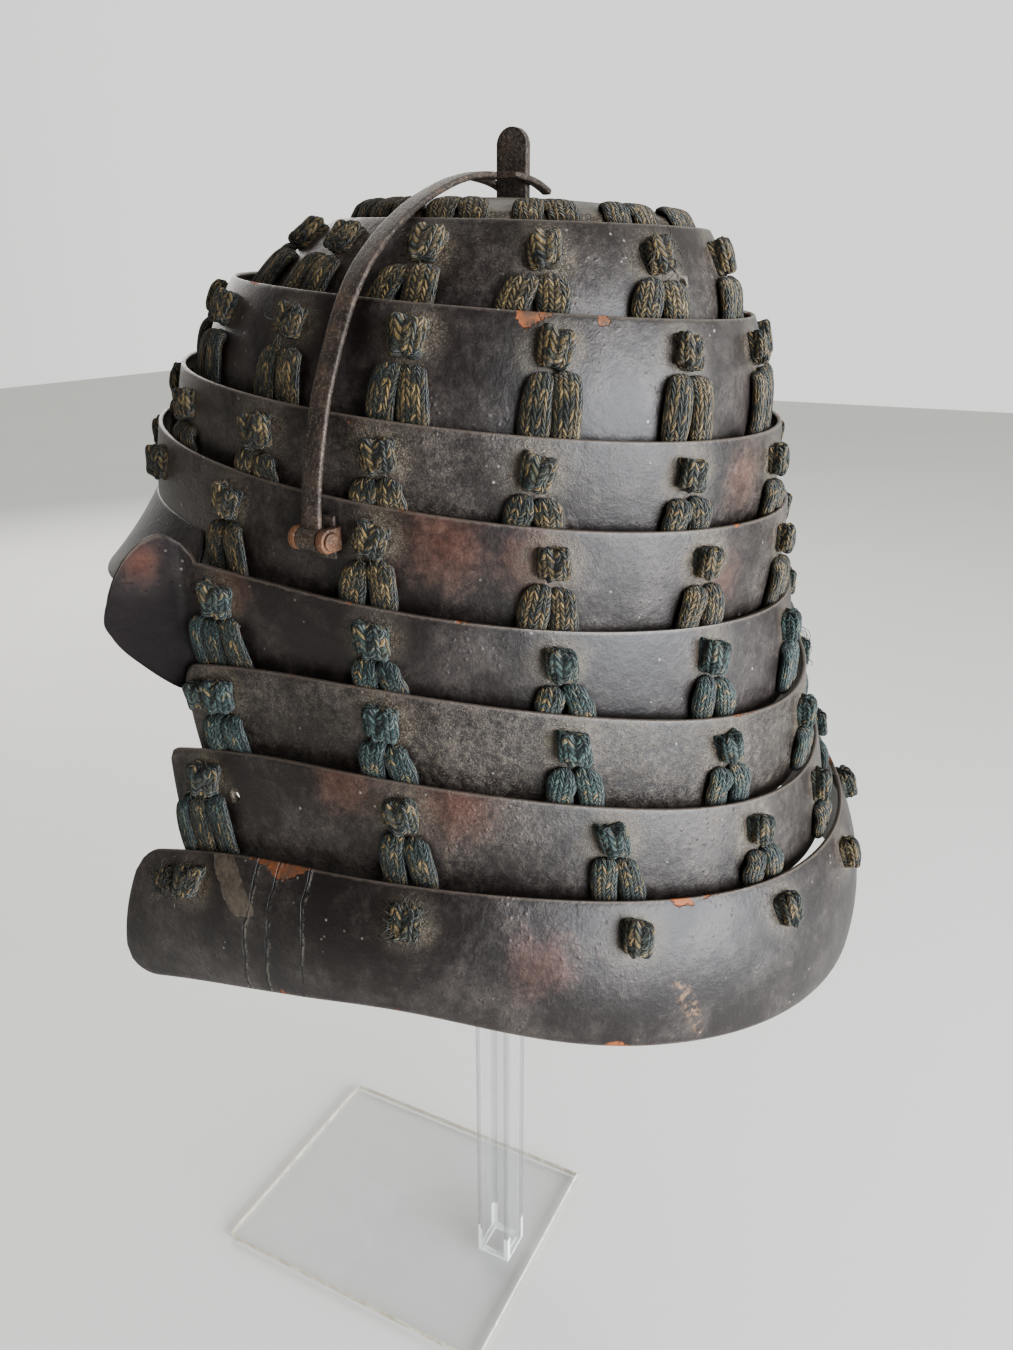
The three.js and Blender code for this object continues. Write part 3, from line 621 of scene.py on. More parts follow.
def cracked_end(wire, spot, colour, height):
    """Cracks, a lifted flake and a chip near the guard's left front end, and a rusty scrape at its back; each
    crack has a painted highlight on its raised lip and painted shade in its gap.
    """
    along = wire.attribute("along")
    depth = wire.attribute("depth")
    wander = spot.noise(38, 3, 0.6) * 7 - 3.5
    rough = spot.noise(420, 3, 0.7)
    broken = spot.noise(85, 3, 0.6)
    line = along + wander
    for crack in CRACKS:
        past = line - crack
        # Each crack: a raised lip with a painted highlight, and a groove painted near-black as shade.
        ridge_and_highlight = past.band(0.2, 0.5) * past.band(1.8, 0.6) * (rough + broken).band(0.9, 1.15)
        colour = (ridge_and_highlight * 0.42).blend(colour, CRACK_LIP_HIGHLIGHT)
        cleft_and_shade = past.math("ABSOLUTE").band(0.40, 0.14) * (broken + rough * 0.4).band(0.48, 0.66)
        colour = (cleft_and_shade * 0.95).blend(colour, CRACK_GAP_SHADE)
        height = height + ridge_and_highlight * 0.5 - cleft_and_shade * 1.2
    across = (along - FLAKE_ALONG - depth * 0.85 + wander * 1.5) * 0.17
    below = (depth - FLAKE_DEPTH) * 0.10
    across = across * across
    below = below * below
    flake = (across * across + below * below + (rough - 0.5) * 0.9 + (broken - 0.5) * 1.2).band(1.0, 0.92)
    lifted = (rough * 0.7 + broken * 0.5).band(0.45, 0.75)
    colour = (flake * 0.75).blend(colour, lifted.blend(FLAKE_BEIGE, FLAKE_BROWN))
    height = height - flake * 0.5
    slope = (along - END_CHIP_ALONG).math("ABSOLUTE") * 0.42
    chip = (depth + slope + (rough - 0.5) * 4 + (broken - 0.5) * 9).band(6.0, 5.6)
    colour = chip.blend(colour, lifted.blend(END_CHIP_RED, END_CHIP_BROWN))
    height = height - chip * 0.6
    scrape = (line - SCRAPE_ALONG - depth * 0.35).math("ABSOLUTE").band(4.0, 0.5)
    scrape = scrape * depth.band(20, 30) * depth.band(48, 42) * rough.band(0.45, 0.62)
    colour = (scrape * 0.7).blend(colour, SCRAPE_RUST)
    return colour, height


for index in range(OPEN_FROM + 1, len(LAMES)):
    grid = []
    guard = shaped_sheet(f"guard_lame_{index + 1}", 300, lame_rows(index), on_guard(index, grid))
    lame_marks(guard, index, *grid[0])
    is_lowest = index == len(LAMES) - 1
    if is_lowest:
        angles, shares = grid[0]
        course = np.linspace(angles.min(), angles.max(), 400)
        steps = np.linalg.norm(np.diff(lame_point(index, course, np.zeros(400)), axis=0), axis=1)
        run = np.concatenate([[0], np.cumsum(steps)])
        store(guard, "along", np.interp(angles, course, run))
        store(guard, "depth", shares * lame_length(index, angles))
    finish_lame(guard, index, f"lame_{index + 1}", cracked_end if is_lowest else None)

# ---- lacing ----
# Flat silk braid, blue-green once and faded to gold where the sun reached it. Each column comes out of a
# lame as a knot, then as a pair of cords that run down and in behind the next lame's top edge.

STITCH = 1.3
CORD_RANKS = 18
CORD_HALF_WIDTH = 4.35
CORD_HALF_THICK = 2.2
PAIR_START = 17.6
PAIR_HALF = 3.7
random.seed(11)


def ribs(u):
    """Relief of the plait's columns of stitches, from 0 in a groove to 1 on a column's crown."""
    return np.sqrt(np.abs(np.sin(np.pi * np.round(u, 5))))


BLUE_GREEN = [(0.0, (0.007, 0.012, 0.012)), (0.30, (0.026, 0.045, 0.043)), (0.55, (0.064, 0.105, 0.094)),
              (0.78, (0.125, 0.180, 0.155)), (1.0, (0.23, 0.29, 0.25))]
DARK_OLIVE = [(0.0, (0.008, 0.008, 0.006)), (0.30, (0.024, 0.026, 0.018)), (0.55, (0.055, 0.058, 0.040)),
              (0.78, (0.115, 0.112, 0.075)), (1.0, (0.23, 0.21, 0.15))]
FADED_GOLD = [(0.0, (0.012, 0.009, 0.005)), (0.30, (0.050, 0.036, 0.017)), (0.55, (0.125, 0.085, 0.036)),
              (0.78, (0.24, 0.160, 0.066)), (1.0, (0.38, 0.280, 0.145))]
BRAID_HOLLOW_SHADE = (0.005, 0.005, 0.004)
BRAID_DUST = (0.23, 0.21, 0.15)


def braid_material():
    """Stitches in two slants, each its own tone of blue-green, tan or gold, with painted shade in the hollows
    between them, and dust.
    """
    material, wire = start_material("silk_braid")
    uv = wire.node("ShaderNodeTexCoord", output="UV")
    u = uv.axis(0)
    v = uv.axis(1)
    gold = wire.attribute("gold")
    spot = wire.place()

    jitter = spot.noise(620, 3, 0.7) - 0.5
    u = u + jitter * 0.9
    rank = u.math("FLOOR")
    across = u - rank
    is_odd = rank.math("ABSOLUTE").math("MODULO", 2.0)
    slant = across + is_odd * (1 - 2 * across)
    down = v + slant * 1.15 + jitter * 0.9
    row = down.math("FLOOR")
    part = down - row
    relief = (across * math.pi).math("SINE") * (part * math.pi).math("SINE")

    name = wire.node("ShaderNodeCombineXYZ", {}, {0: rank, 1: row})
    shade = wire.node("ShaderNodeTexWhiteNoise", {"noise_dimensions": "2D"}, {"Vector": name})
    broad = spot.noise(130, 4, 0.65)
    fibre = spot.noise(1700, 3, 0.75)
    tone = shade * 0.55 + (broad - 0.5) * 1.1 + (fibre - 0.5) * 0.9 + 0.18
    teal = tone.ramp(BLUE_GREEN)
    olive = tone.ramp(DARK_OLIVE)
    cool = (gold + (broad - 0.5) * 1.2).band(0.34, -0.12).blend(olive, teal)
    golden = tone.ramp(FADED_GOLD)
    faded = (gold + (broad - 0.5) * 2.0 + (shade - 0.5) * 1.1).band(0.22, 0.66)
    colour = faded.blend(cool, golden)
    # Painted shade: the hollows between stitches are darkened towards near-black.
    hollow_shade = relief.band(0.55, 0.08)
    colour = (hollow_shade * 0.9).blend(colour, BRAID_HOLLOW_SHADE)
    dust = (fibre + (broad - 0.5) * 0.8).band(0.55, 0.85)
    colour = (dust * 0.35).blend(colour, BRAID_DUST)
    height = relief * 0.9 + fibre * 0.55
    finish_material(colour, 0.93, height, 0.0010, Sheen_Weight=0.2, Specular_IOR_Level=0.15)
    return material


silk = braid_material()


def plate_length(surface, angle):
    here = np.array(angle)
    return np.linalg.norm(surface(here, np.array(0.0)) - surface(here, np.array(1.0)))


def on_plate(surface, angle, x, drop, out):
    """Lays points on a plate: x across and drop down from its top edge along its face, and out from it."""
    small = 0.01
    here = np.array(angle)
    span = surface(here + small, np.array(0.3)) - surface(here - small, np.array(0.3))
    angles = angle + x / (np.linalg.norm(span) / (2 * small))
    shares = np.clip(drop / plate_length(surface, angle), 0, 1.2)
    flat = surface(angles, shares)
    side = surface(angles + small, shares) - surface(angles - small, shares)
    down = surface(angles, shares + small) - surface(angles, shares - small)
    face = np.cross(down, side)
    face /= np.linalg.norm(face, axis=-1, keepdims=True)
    return flat + face * out[:, None]


def count_stitches(piece, ranks, rows, start):
    """Scales a UV map so that one unit is one stitch: ranks round the piece, and rows down it."""
    uv = piece.data.uv_layers.active.data
    flat = np.zeros(len(uv) * 2)
    uv.foreach_get("uv", flat)
    flat = flat.reshape(-1, 2)
    flat[:, 1] = (1 - flat[:, 1]) * rows + start
    flat[:, 0] *= ranks
    uv.foreach_set("uv", flat.ravel())


def tube(name, around, along, route, width, thick, ranks, turn=0.0):
    """A closed tube of flat section; its route gives x, drop and out, in a plate's own directions."""
    knots = np.array(route, float)
    steps = np.linspace(0, 1, len(knots))

    def smooth(values, at):
        fine = np.interp(at, steps, values)
        before = np.interp(np.clip(at - 0.06, 0, 1), steps, values)
        after = np.interp(np.clip(at + 0.06, 0, 1), steps, values)
        return (fine + before + after) / 3

    spans = np.linalg.norm(np.diff(knots[:, :3], axis=0), axis=1).sum()

    def place(u, v):
        x, drop, out = (smooth(knots[:, k], v) for k in range(3))
        ahead = np.clip(v + 0.03, 0, 1)
        behind = np.clip(v - 0.03, 0, 1)
        run = np.stack([smooth(knots[:, k], ahead) - smooth(knots[:, k], behind) for k in range(3)], axis=-1)
        run /= np.linalg.norm(run, axis=-1, keepdims=True) + 1e-9
        side = np.array([1.0, 0.0, 0.0]) - run * run[:, :1]
        side /= np.linalg.norm(side, axis=-1, keepdims=True)
        face = np.cross(side, run)
        end = np.sqrt(np.clip(1 - np.clip(1 - np.minimum(v, 1 - v) / 0.16, 0, 1) ** 2, 0, 1))
        petal = 0.62 + 0.38 * np.sin(np.clip((v - 0.12) / 0.42, 0, 1) * math.pi / 2)
        ring = u * 2 * math.pi
        lump = 1 + 0.05 * np.sin(9 * v + 5 * turn) + 0.04 * np.sin(2 * ring + 14 * v + 9 * turn)
        relief = lump + 0.08 * (ribs(u * ranks / 2) - 0.6)
        across = side * (np.sin(ring) * width * petal * end * relief)[:, None]
        outward = face * (np.cos(ring) * thick * end * relief)[:, None]
        return np.stack([x, drop, out], axis=-1) + across + outward

    piece = shaped_sheet(name, around, along, place)
    count_stitches(piece, ranks, spans / STITCH, turn)
    return piece


KNOT_RANKS = 16
KNOT_ROWS = 9
KNOT_HALVES = (5.05, 5.0, 4.2)
KNOT_OUT = 1.6


def knot_blank(name, ears, groove):
    """A knot as its own small model at the origin: a square cushion of plait, about 11 mm across."""
    phases = [random.uniform(0, 6.28) for _ in range(4)]

    def place(u, v):
        round_by = u * 2 * math.pi
        tall = (v - 0.5) * math.pi
        ring = np.cos(tall) ** 0.5
        x = ring * np.sign(np.sin(round_by)) * np.abs(np.sin(round_by)) ** 0.75
        out = ring * np.sign(np.cos(round_by)) * np.abs(np.cos(round_by)) ** 0.9
        drop = np.sign(tall) * np.abs(np.sin(tall)) ** 0.85
        lump = 1 + 0.05 * np.sin(3 * round_by + phases[0]) + 0.05 * np.sin(2 * tall * 2 + phases[1])
        lump += 0.05 * np.sin(5 * round_by + 3 * tall + phases[2])
        lump += ears * np.exp(-((np.abs(x) - 0.72) / 0.26) ** 2 - ((drop + 0.85) / 0.3) ** 2)
        lump -= groove * np.exp(-((x * 0.8 + drop * 0.6) / 0.16) ** 2)
        lump -= 0.10 * np.exp(-(x / 0.2) ** 2 - ((drop + 1) / 0.4) ** 2)
        lump *= 1 + 0.10 * (ribs(u * KNOT_RANKS / 2) - 0.6)
        lump = 1 + (lump - 1) * np.clip(ring * 4, 0, 1)
        return np.stack([x, drop, out], axis=-1) * KNOT_HALVES * lump[:, None]

    piece = shaped_sheet(name, 48, 28, place)
    count_stitches(piece, KNOT_RANKS, KNOT_ROWS, phases[3])
    return piece


def copy_onto(blank, surface, angle, x, drop, out, size=1.0, turn=0.0, flatten=1.0):
    """A copy of a blank with its own mesh, laid on a plate at a place and turned in its face."""
    piece = blank.copy()
    piece.data = blank.data.copy()
    bpy.context.scene.collection.objects.link(piece)
    points = read_points(blank)
    side = (points[:, 0] * math.cos(turn) - points[:, 1] * math.sin(turn)) * size + x
    down = (points[:, 0] * math.sin(turn) + points[:, 1] * math.cos(turn)) * size + drop
    laid = on_plate(surface, angle, side, down, points[:, 2] * size * flatten + out)
    piece.data.vertices.foreach_set("co", (laid * MM).ravel())
    piece.data.update()
    return piece


def plate_surface(index):
    if index < 0:
        return lambda angle, share: crown_point(angle, 0.5 + 0.5 * np.asarray(share))
    return lambda angle, share: lame_point(index, angle, share)


# How much more or less golden than the rest the silk is at some lames.
GOLD_RINGS = {3: 0.14, 4: -0.28, 5: -0.26, 7: 0.12}


def goldness(index, column):
    """How far a column's silk has faded to gold at a lame: most high up, and towards the sides."""
    high = max(0.0, 1 - max(index, 0) / 4.0)
    side = math.cos(column * STEP - math.radians(90))
    return 0.24 + 0.52 * high * (0.5 + 0.5 * side) + GOLD_RINGS.get(index, 0) + random.uniform(-0.14, 0.18)


knot_blanks = [
    knot_blank("knot_plain", 0.06, 0.0),
    knot_blank("knot_eared", 0.22, 0.04),
    knot_blank("knot_crossed", 0.14, 0.16),
]


def cord(index, angle, last_drop, gold, x, spread, width=1.0, lift=0.0):
    """One cord, from its hole to behind the next lame's edge; it leans out by spread on the way down."""
    surface = plate_surface(index)
    on_crown = index < 0
    thick = CORD_HALF_THICK * (0.62 if on_crown else 1)
    swell = thick * 0.95 + lift
    start = (last_drop - CROWN_CORD) if on_crown else PAIR_START + random.uniform(-0.7, 0.9)
    start = min(start, last_drop - 4.5)
    low = x + spread
    route = [
        (x * 0.8, start + 3.0, -1.6),
        (x * 0.82, start + 0.9, 0.2),
        (x * 0.88, start + 0.8, swell * 0.85),
        (x + spread * 0.35, start + 3.4, swell + 0.45),
        (low, max(last_drop - 2, start + 5.5), swell),
        (low, max(last_drop + 1.5, start + 7.5), swell - 0.3),
        (low, max(last_drop + 5.5, start + 9), swell - 0.5),
    ]
    half_width = CORD_HALF_WIDTH * width * random.uniform(0.94, 1.05)
    made = tube("cord", 34, 30, route, half_width, thick, CORD_RANKS, random.uniform(0, 1))
    points = read_points(made)
    laid = on_plate(surface, angle, points[:, 0], points[:, 1], points[:, 2])
    made.data.vertices.foreach_set("co", (laid * MM).ravel())
    fade = gold + random.uniform(-0.12, 0.12) + 0.25 * (points[:, 1] - start) / (last_drop - start + 4) - 0.12
    store(made, "gold", fade)
    return made


def join_all(pieces):
    """Joins pieces into the first of them."""
    bpy.ops.object.select_all(action="DESELECT")
    for piece in pieces:
        piece.select_set(True)
    bpy.context.view_layer.objects.active = pieces[0]
    bpy.ops.object.join()
    return pieces[0]


def turn_outwards():
    """Turns all faces of the active mesh outwards."""
    bpy.ops.object.mode_set(mode="EDIT")
    bpy.ops.mesh.select_all(action="SELECT")
    bpy.ops.mesh.normals_make_consistent(inside=False)
    bpy.ops.object.mode_set(mode="OBJECT")


# A loose thread's heading, root, bend, height and reach lie between these.
THREAD_RANGES = ((0, 6.28), (2.5, 6.2), (-1.4, 1.4), (1.0, 4.2), (4.5, 9.2))


def frayed(index, angle, x, drop, amount, gold):
    """Loose threads that stand off a worn knot, as one mesh of thin curved ribbons."""
    surface = plate_surface(index)
    seeds = [[random.uniform(low, high) for low, high in THREAD_RANGES] for _ in range(amount)]
    tufts = []
    for seed in seeds:

        def place(u, v, seed=seed):
            heading, root, bend, high, reach = seed
            turned = heading + bend * v
            away = root * 0.5 + (reach - root * 0.5) * v
            across = (u - 0.5) * 0.42 * (1 - 0.7 * v)
            side = np.cos(turned) * away - np.sin(turned) * across
            down = np.sin(turned) * away + np.cos(turned) * across
            out = KNOT_OUT + 2.2 + high * np.sin(v * math.pi * 0.8) * 0.8 - 1.5 * v
            return on_plate(surface, angle, x + side, drop + down, out)

        tufts.append(shaped_sheet("thread", 2, 7, place))
    tuft = join_all(tufts)
    apply_modifier(tuft, "SOLIDIFY", thickness=0.16 * MM, offset=0)
    store(tuft, "gold", gold)
    return tuft


CROWN_CORD = 6.8
BRAID_MERGE_REACH = 0.004 * MM
# The lacing doubled at the guard's front: by lame, what is added ahead of the column, and how far.
DOUBLED = {4: ("cord", 9.9), 5: ("knot", 8.8), 6: ("cord", 10.9), 7: ("knot", 10.6)}
# Worn knots with loose threads: lame, column, and how many.
FRAYED = {(0, 6): 26, (7, 4): 44, (6, 3): 30, (7, 3): 26, (1, 3): 14, (3, 4): 14, (5, 8): 24, (2, 10): 22,
          (7, 9): 30, (4, 11): 20}

for column in range(COLUMNS):
    is_on_guard = GUARD_FIRST <= column <= COLUMNS - GUARD_FIRST
    last = len(LAMES) - 1 if is_on_guard else OPEN_FROM - 1
    ahead = {GUARD_FIRST: -1, COLUMNS - GUARD_FIRST: 1}.get(column, 0)
    parts = []
    for index in range(-1, last + 1):
        angle = column_angle(index, column)
        surface = plate_surface(index)
        gold = goldness(index, column)
        added, offset = DOUBLED.get(index, ("", 0)) if ahead else ("", 0)
        places = [(0, 1.0)] + ([(ahead * offset, 0.8)] if added == "knot" else [])
        for x, size in places if index >= 0 else []:
            blank = random.choice(knot_blanks)
            size *= random.uniform(0.92, 1.06)
            knot = copy_onto(blank, surface, angle, x, HOLE_DROP, KNOT_OUT, size, random.uniform(-0.25, 0.25))
            store(knot, "gold", gold + random.uniform(-0.05, 0.1))
            parts.append(knot)
            if (index, column) in FRAYED:
                parts.append(frayed(index, angle, x, HOLE_DROP, FRAYED[index, column], gold + 0.2))
        if index < last:
            last_drop = plate_length(surface, angle) - OVERLAP
            splay = random.uniform(0.7, 1.7)
            parts.append(cord(index, angle, last_drop, gold, -PAIR_HALF, -splay))
            parts.append(cord(index, angle, last_drop, gold, PAIR_HALF, splay))
            if added == "cord":
                parts.append(cord(index, angle, last_drop, gold, ahead * offset, ahead * 0.6, 0.72, 0.5))
    braid = join_all(parts)
    merge_points(BRAID_MERGE_REACH)
    turn_outwards()
    bpy.ops.object.shade_smooth()
    braid.name = f"braid_{column + 1}"
    braid.data.name = braid.name
    braid.data.materials.clear()
    braid.data.materials.append(silk)
    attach(braid, "root")
    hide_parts(f"lacing_{column + 1}")

for blank in knot_blanks:
    bpy.data.objects.remove(blank)

# ---- crown tab ----
# An upright iron tongue with a rounded head, let into the crown's slot; the strut's fork sits round it
# when the bowl is propped open. Forged, dark, and a little rusted.

STRUT_ANGLE = math.radians(85)
TAB_HALF = 5.85
TAB_THICK = 2.9
TAB_HEIGHT = 22
TAB_ROOT = 3
crown_middle = Vector((0, HELMET_Y + CROWN_BACK, LAMES[0]["top"]))
strut_out = Vector((math.sin(STRUT_ANGLE), -math.cos(STRUT_ANGLE), 0))
strut_across = Vector((math.cos(STRUT_ANGLE), math.sin(STRUT_ANGLE), 0))


IRON_DARK = (0.030, 0.022, 0.019)
IRON_WORN = (0.10, 0.076, 0.062)
IRON_DUST = (0.30, 0.25, 0.19)
RUST_BRIGHT = (0.27, 0.105, 0.045)
RUST_DULL = (0.15, 0.085, 0.050)


def forged_iron(name, rust, shift):
    """Dark hammered iron, paler where it is worn, with rust and fine dust."""
    material, wire = start_material(name)
    spot = wire.place().moved(shift)
    broad = spot.noise(90, 4, 0.6)
    fine = spot.noise(700, 5, 0.7)
    rusty = (broad * 0.6 + fine * 0.5 + rust).band(0.5, 0.85)
    worn = fine.band(0.35, 0.7) * 0.6 + broad.band(0.4, 0.6) * 0.4
    colour = worn.blend(IRON_DARK, IRON_WORN)
    rust_tone = fine.band(0.4, 0.65).blend(RUST_BRIGHT, RUST_DULL)
    colour = (rusty * 0.9).blend(colour, rust_tone)
    dust = spot.noise(1300, 2).band(0.52, 0.72)
    colour = (dust * 0.4).blend(colour, IRON_DUST)
    height = broad * 0.5 + fine * 0.5
    finish_material(colour, 0.5 + 0.3 * rusty, height, 0.0006, Metallic=0.35, Specular_IOR_Level=0.5)
    return material


bpy.ops.object.select_all(action="DESELECT")
lying = (math.pi / 2, 0, 0)
bpy.ops.mesh.primitive_cylinder_add(vertices=48, radius=TAB_HALF * MM, depth=TAB_THICK * MM, rotation=lying)
tab = bpy.context.object
bpy.ops.object.transform_apply(location=False, rotation=True, scale=False)
for vertex in tab.data.vertices:
    if vertex.co.z < 0.1 * MM:
        vertex.co.x = math.copysign(TAB_HALF * MM, vertex.co.x)
        vertex.co.z -= (TAB_HEIGHT - TAB_HALF + TAB_ROOT) * MM
tab.data.transform(Matrix.Rotation(STRUT_ANGLE, 4, "Z"))
head_middle = crown_middle + Vector((0, 0, CROWN_RISE + TAB_HEIGHT - TAB_HALF))
tab.data.transform(Matrix.Translation(head_middle * MM))
tab.name = "tab_tongue"
ease_edges(tab, 0.45, 3)
apply_modifier(tab, "WELD", merge_threshold=0.02 * MM)
bpy.ops.object.shade_smooth_by_angle(angle=math.radians(40))
tab.data.materials.append(forged_iron("tab_iron", -0.05, (0, 0, 0)))
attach(tab, "root")
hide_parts("crown_tab")

# ---- strut ----
# A flat iron bar bent to the bowl's outline, with a fork at its tip and an eye at its foot. It swings out
# and down on the hinge pin to let the lames drop together.

HINGE_OUT = 111.8
HINGE_HEIGHT = 408
STRUT_ROUTE = [
    (-11, 506.3), (-6, 508.4), (2, 510.2), (14, 511), (24, 510.6), (38, 507.6), (52, 502.6), (62, 498),
    (74, 490.6), (84, 482.4), (90.5, 474.4), (96.5, 464), (104, 448.5), (108, 435), (110.6, 424),
    (111.8, 414), (111.8, 408.6),
]
STRUT_HALF_WIDTH = 3.5
STRUT_HALF_THICK = 1.0
FORK_GAP = TAB_HALF + 0.5
FORK_HALF_WIDTH = 1.75
EYE_RADIUS = 3.6


def strut_place(out, height, across):
    """Points in the strut's upright plane, out from the crown's middle, up, and across the bar."""
    start = np.array(crown_middle) * np.array([1, 1, 0])
    return (start + out[:, None] * np.array(strut_out) + across[:, None] * np.array(strut_across)
            + height[:, None] * np.array([0, 0, 1]))


def bar_along(name, route, half_width, offset, columns=20, rows=160):
    """A bar of rounded flat section that follows a route, closed at both ends."""
    route = np.array(route, float)
    run = np.concatenate([[0], np.cumsum(np.linalg.norm(np.diff(route, axis=0), axis=1))])

    def at(distance):
        near = [np.clip(distance + step, 0, run[-1]) for step in np.linspace(-5, 5, 9)]
        return [np.mean([np.interp(spot, run, route[:, k]) for spot in near], axis=0) for k in (0, 1)]

    def place(u, v):
        distance = v * run[-1]
        out, height = at(distance)
        ahead = at(np.clip(distance + 1, 0, run[-1]))
        behind = at(np.clip(distance - 1, 0, run[-1]))
        along = np.stack([ahead[0] - behind[0], ahead[1] - behind[1]], axis=-1)
        along /= np.linalg.norm(along, axis=-1, keepdims=True)
        end = np.where((v < 0.0005) | (v > 0.9995), 0.0, 1.0)
        ring = u * 2 * math.pi
        wide = np.sign(np.cos(ring)) * np.abs(np.cos(ring)) ** 0.35 * half_width * end
        thick = np.sign(np.sin(ring)) * np.abs(np.sin(ring)) ** 0.5 * STRUT_HALF_THICK * end
        return strut_place(out - along[:, 1] * thick, height + along[:, 0] * thick, wide + offset)

    return shaped_sheet(name, columns, rows, place, True)


def at_hinge(out, across):
    """A place at the hinge pin's height, out from the crown's middle and across the strut."""
    return Vector((crown_middle.x, crown_middle.y, HINGE_HEIGHT)) + strut_out * out + strut_across * across


def eye_across(name, radius, length, across=0.0):
    """A short cylinder on the hinge's own line."""
    bpy.ops.object.select_all(action="DESELECT")
    bpy.ops.mesh.primitive_cylinder_add(vertices=32, radius=radius * MM, depth=length * MM)
    piece = bpy.context.object
    piece.name = name
    piece.data.transform(strut_across.to_track_quat("Z", "Y").to_matrix().to_4x4())
    piece.data.transform(Matrix.Translation(at_hinge(HINGE_OUT, across) * MM))
    return piece


fork_at = FORK_GAP + FORK_HALF_WIDTH
bars = [
    bar_along("strut_bar", STRUT_ROUTE[3:], STRUT_HALF_WIDTH, 0),
    bar_along("prong_a", STRUT_ROUTE[:4], FORK_HALF_WIDTH, fork_at, 16, 24),
    bar_along("prong_b", STRUT_ROUTE[:4], FORK_HALF_WIDTH, -fork_at, 16, 24),
    bar_along("yoke", [(9, 510.8), (16, 511)], fork_at + FORK_HALF_WIDTH, 0, 24, 10),
    eye_across("eye", EYE_RADIUS, 2 * STRUT_HALF_WIDTH),
]
strut = join_all(bars)
turn_outwards()
bpy.ops.object.shade_smooth_by_angle(angle=math.radians(45))
strut.data.materials.append(forged_iron("strut_iron", -0.03, (0.2, 0.4, 0.1)))
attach(strut, "strut")
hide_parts("strut")

# ---- strut hinge ----
# A small bracket riveted to the waist lame: a plate, two lugs either side of the strut's eye, and a pin
# with a domed, rusty head.

LUG_THICK = 2.6
LUG_GAP = 0.5
LUG_BLOCK = (5.6, LUG_THICK, 7)
LUG_OUT = 109.1
PIN_RADIUS = 2.6
PIN_HEAD_THICK = 1.0
HINGE_PLATE = (1.2, 9.5, 13)
HINGE_PLATE_OUT = 107.0
HINGE_PLATE_END = 107.8


def block(name, size):
    """A block of three sizes with its middle at the origin."""
    bpy.ops.object.select_all(action="DESELECT")
    bpy.ops.mesh.primitive_cube_add(size=1)
    made = bpy.context.object
    made.name = name
    made.data.transform(Matrix.Diagonal((size[0] * MM, size[1] * MM, size[2] * MM, 1)))
    return made


lug_at = STRUT_HALF_WIDTH + LUG_GAP + LUG_THICK / 2
head_at = lug_at + (LUG_THICK + PIN_HEAD_THICK) / 2
hinge_parts = [
    eye_across("lug_a", EYE_RADIUS, LUG_THICK, lug_at),
    eye_across("lug_b", EYE_RADIUS, LUG_THICK, -lug_at),
    eye_across("pin_head_a", PIN_RADIUS, PIN_HEAD_THICK, head_at),
    eye_across("pin_head_b", PIN_RADIUS, PIN_HEAD_THICK, -head_at),
]
blocks = [(LUG_BLOCK, LUG_OUT, lug_at), (LUG_BLOCK, LUG_OUT, -lug_at), (HINGE_PLATE, HINGE_PLATE_OUT, 0)]
for size, out, across in blocks:
    made = block("hinge_block", size)
    made.data.transform(Matrix.Rotation(STRUT_ANGLE - math.pi / 2, 4, "Z"))
    made.data.transform(Matrix.Translation(at_hinge(out, across) * MM))
    hinge_parts.append(made)
hinge = join_all(hinge_parts)
hinge.name = "hinge_bracket"
ease_edges(hinge, 0.35)
bpy.ops.object.shade_smooth_by_angle(angle=math.radians(40))
hinge.data.materials.append(forged_iron("hinge_iron", 0.16, (0.5, 0.1, 0.3)))
hinge.data.materials.append(forged_iron("hinge_plate_iron", -0.12, (0.1, 0.6, 0.2)))
plate_reach = (np.array(crown_middle) * MM) @ np.array(strut_out) + HINGE_PLATE_END * MM
for face in hinge.data.polygons:
    if face.center @ strut_out < plate_reach:
        face.material_index = 1
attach(hinge, "root")
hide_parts("strut_hinge")

# ---- clear stand ----
# Cast acrylic: a base plate, a square tube that carries the weight, and a square rest under the crown.
# The faces are polished clear, and the sawn edges glow a milky cream.

BASE = (120, 150, 4)
POST_SIDE = 17.5
POST_WALL = 2.5
REST = (52, 52, 4)
REST_DROP = 3.8
POST_GAP = 0.3
REST_TOP = LAMES[0]["top"] + CROWN_RISE - WALL - REST_DROP


def clear_acrylic():
    """Polished sheet that shows mainly as a faint grey film with gloss, and a few rubbed marks."""
    material, wire = start_material("clear_acrylic")
    spot = wire.place()
    smear = spot.noise(24, 4, 0.6).band(0.45, 0.75)
    scuff = spot.noise(210, 5, 0.8).band(0.60, 0.74)
    colour = smear.blend((0.36, 0.37, 0.36), (0.58, 0.59, 0.58))
    solid = 0.13 + 0.06 * smear + 0.10 * scuff
    finish_material(colour, 0.06 + 0.12 * smear + 0.25 * scuff, Alpha=solid, IOR=1.49)
    return material


def sawn_acrylic():
    """A sawn edge gathers light, and shows as an almost solid cream line with fine saw marks."""
    material, wire = start_material("sawn_acrylic")
    spot = wire.place()
    streak = spot.noise(260, 4, 0.65)
    colour = streak.band(0.35, 0.7).blend((0.52, 0.45, 0.33), (0.80, 0.74, 0.62))
    finish_material(colour, 0.35 + 0.2 * streak, streak, 0.0002, Alpha=0.88, IOR=1.49)
    return material


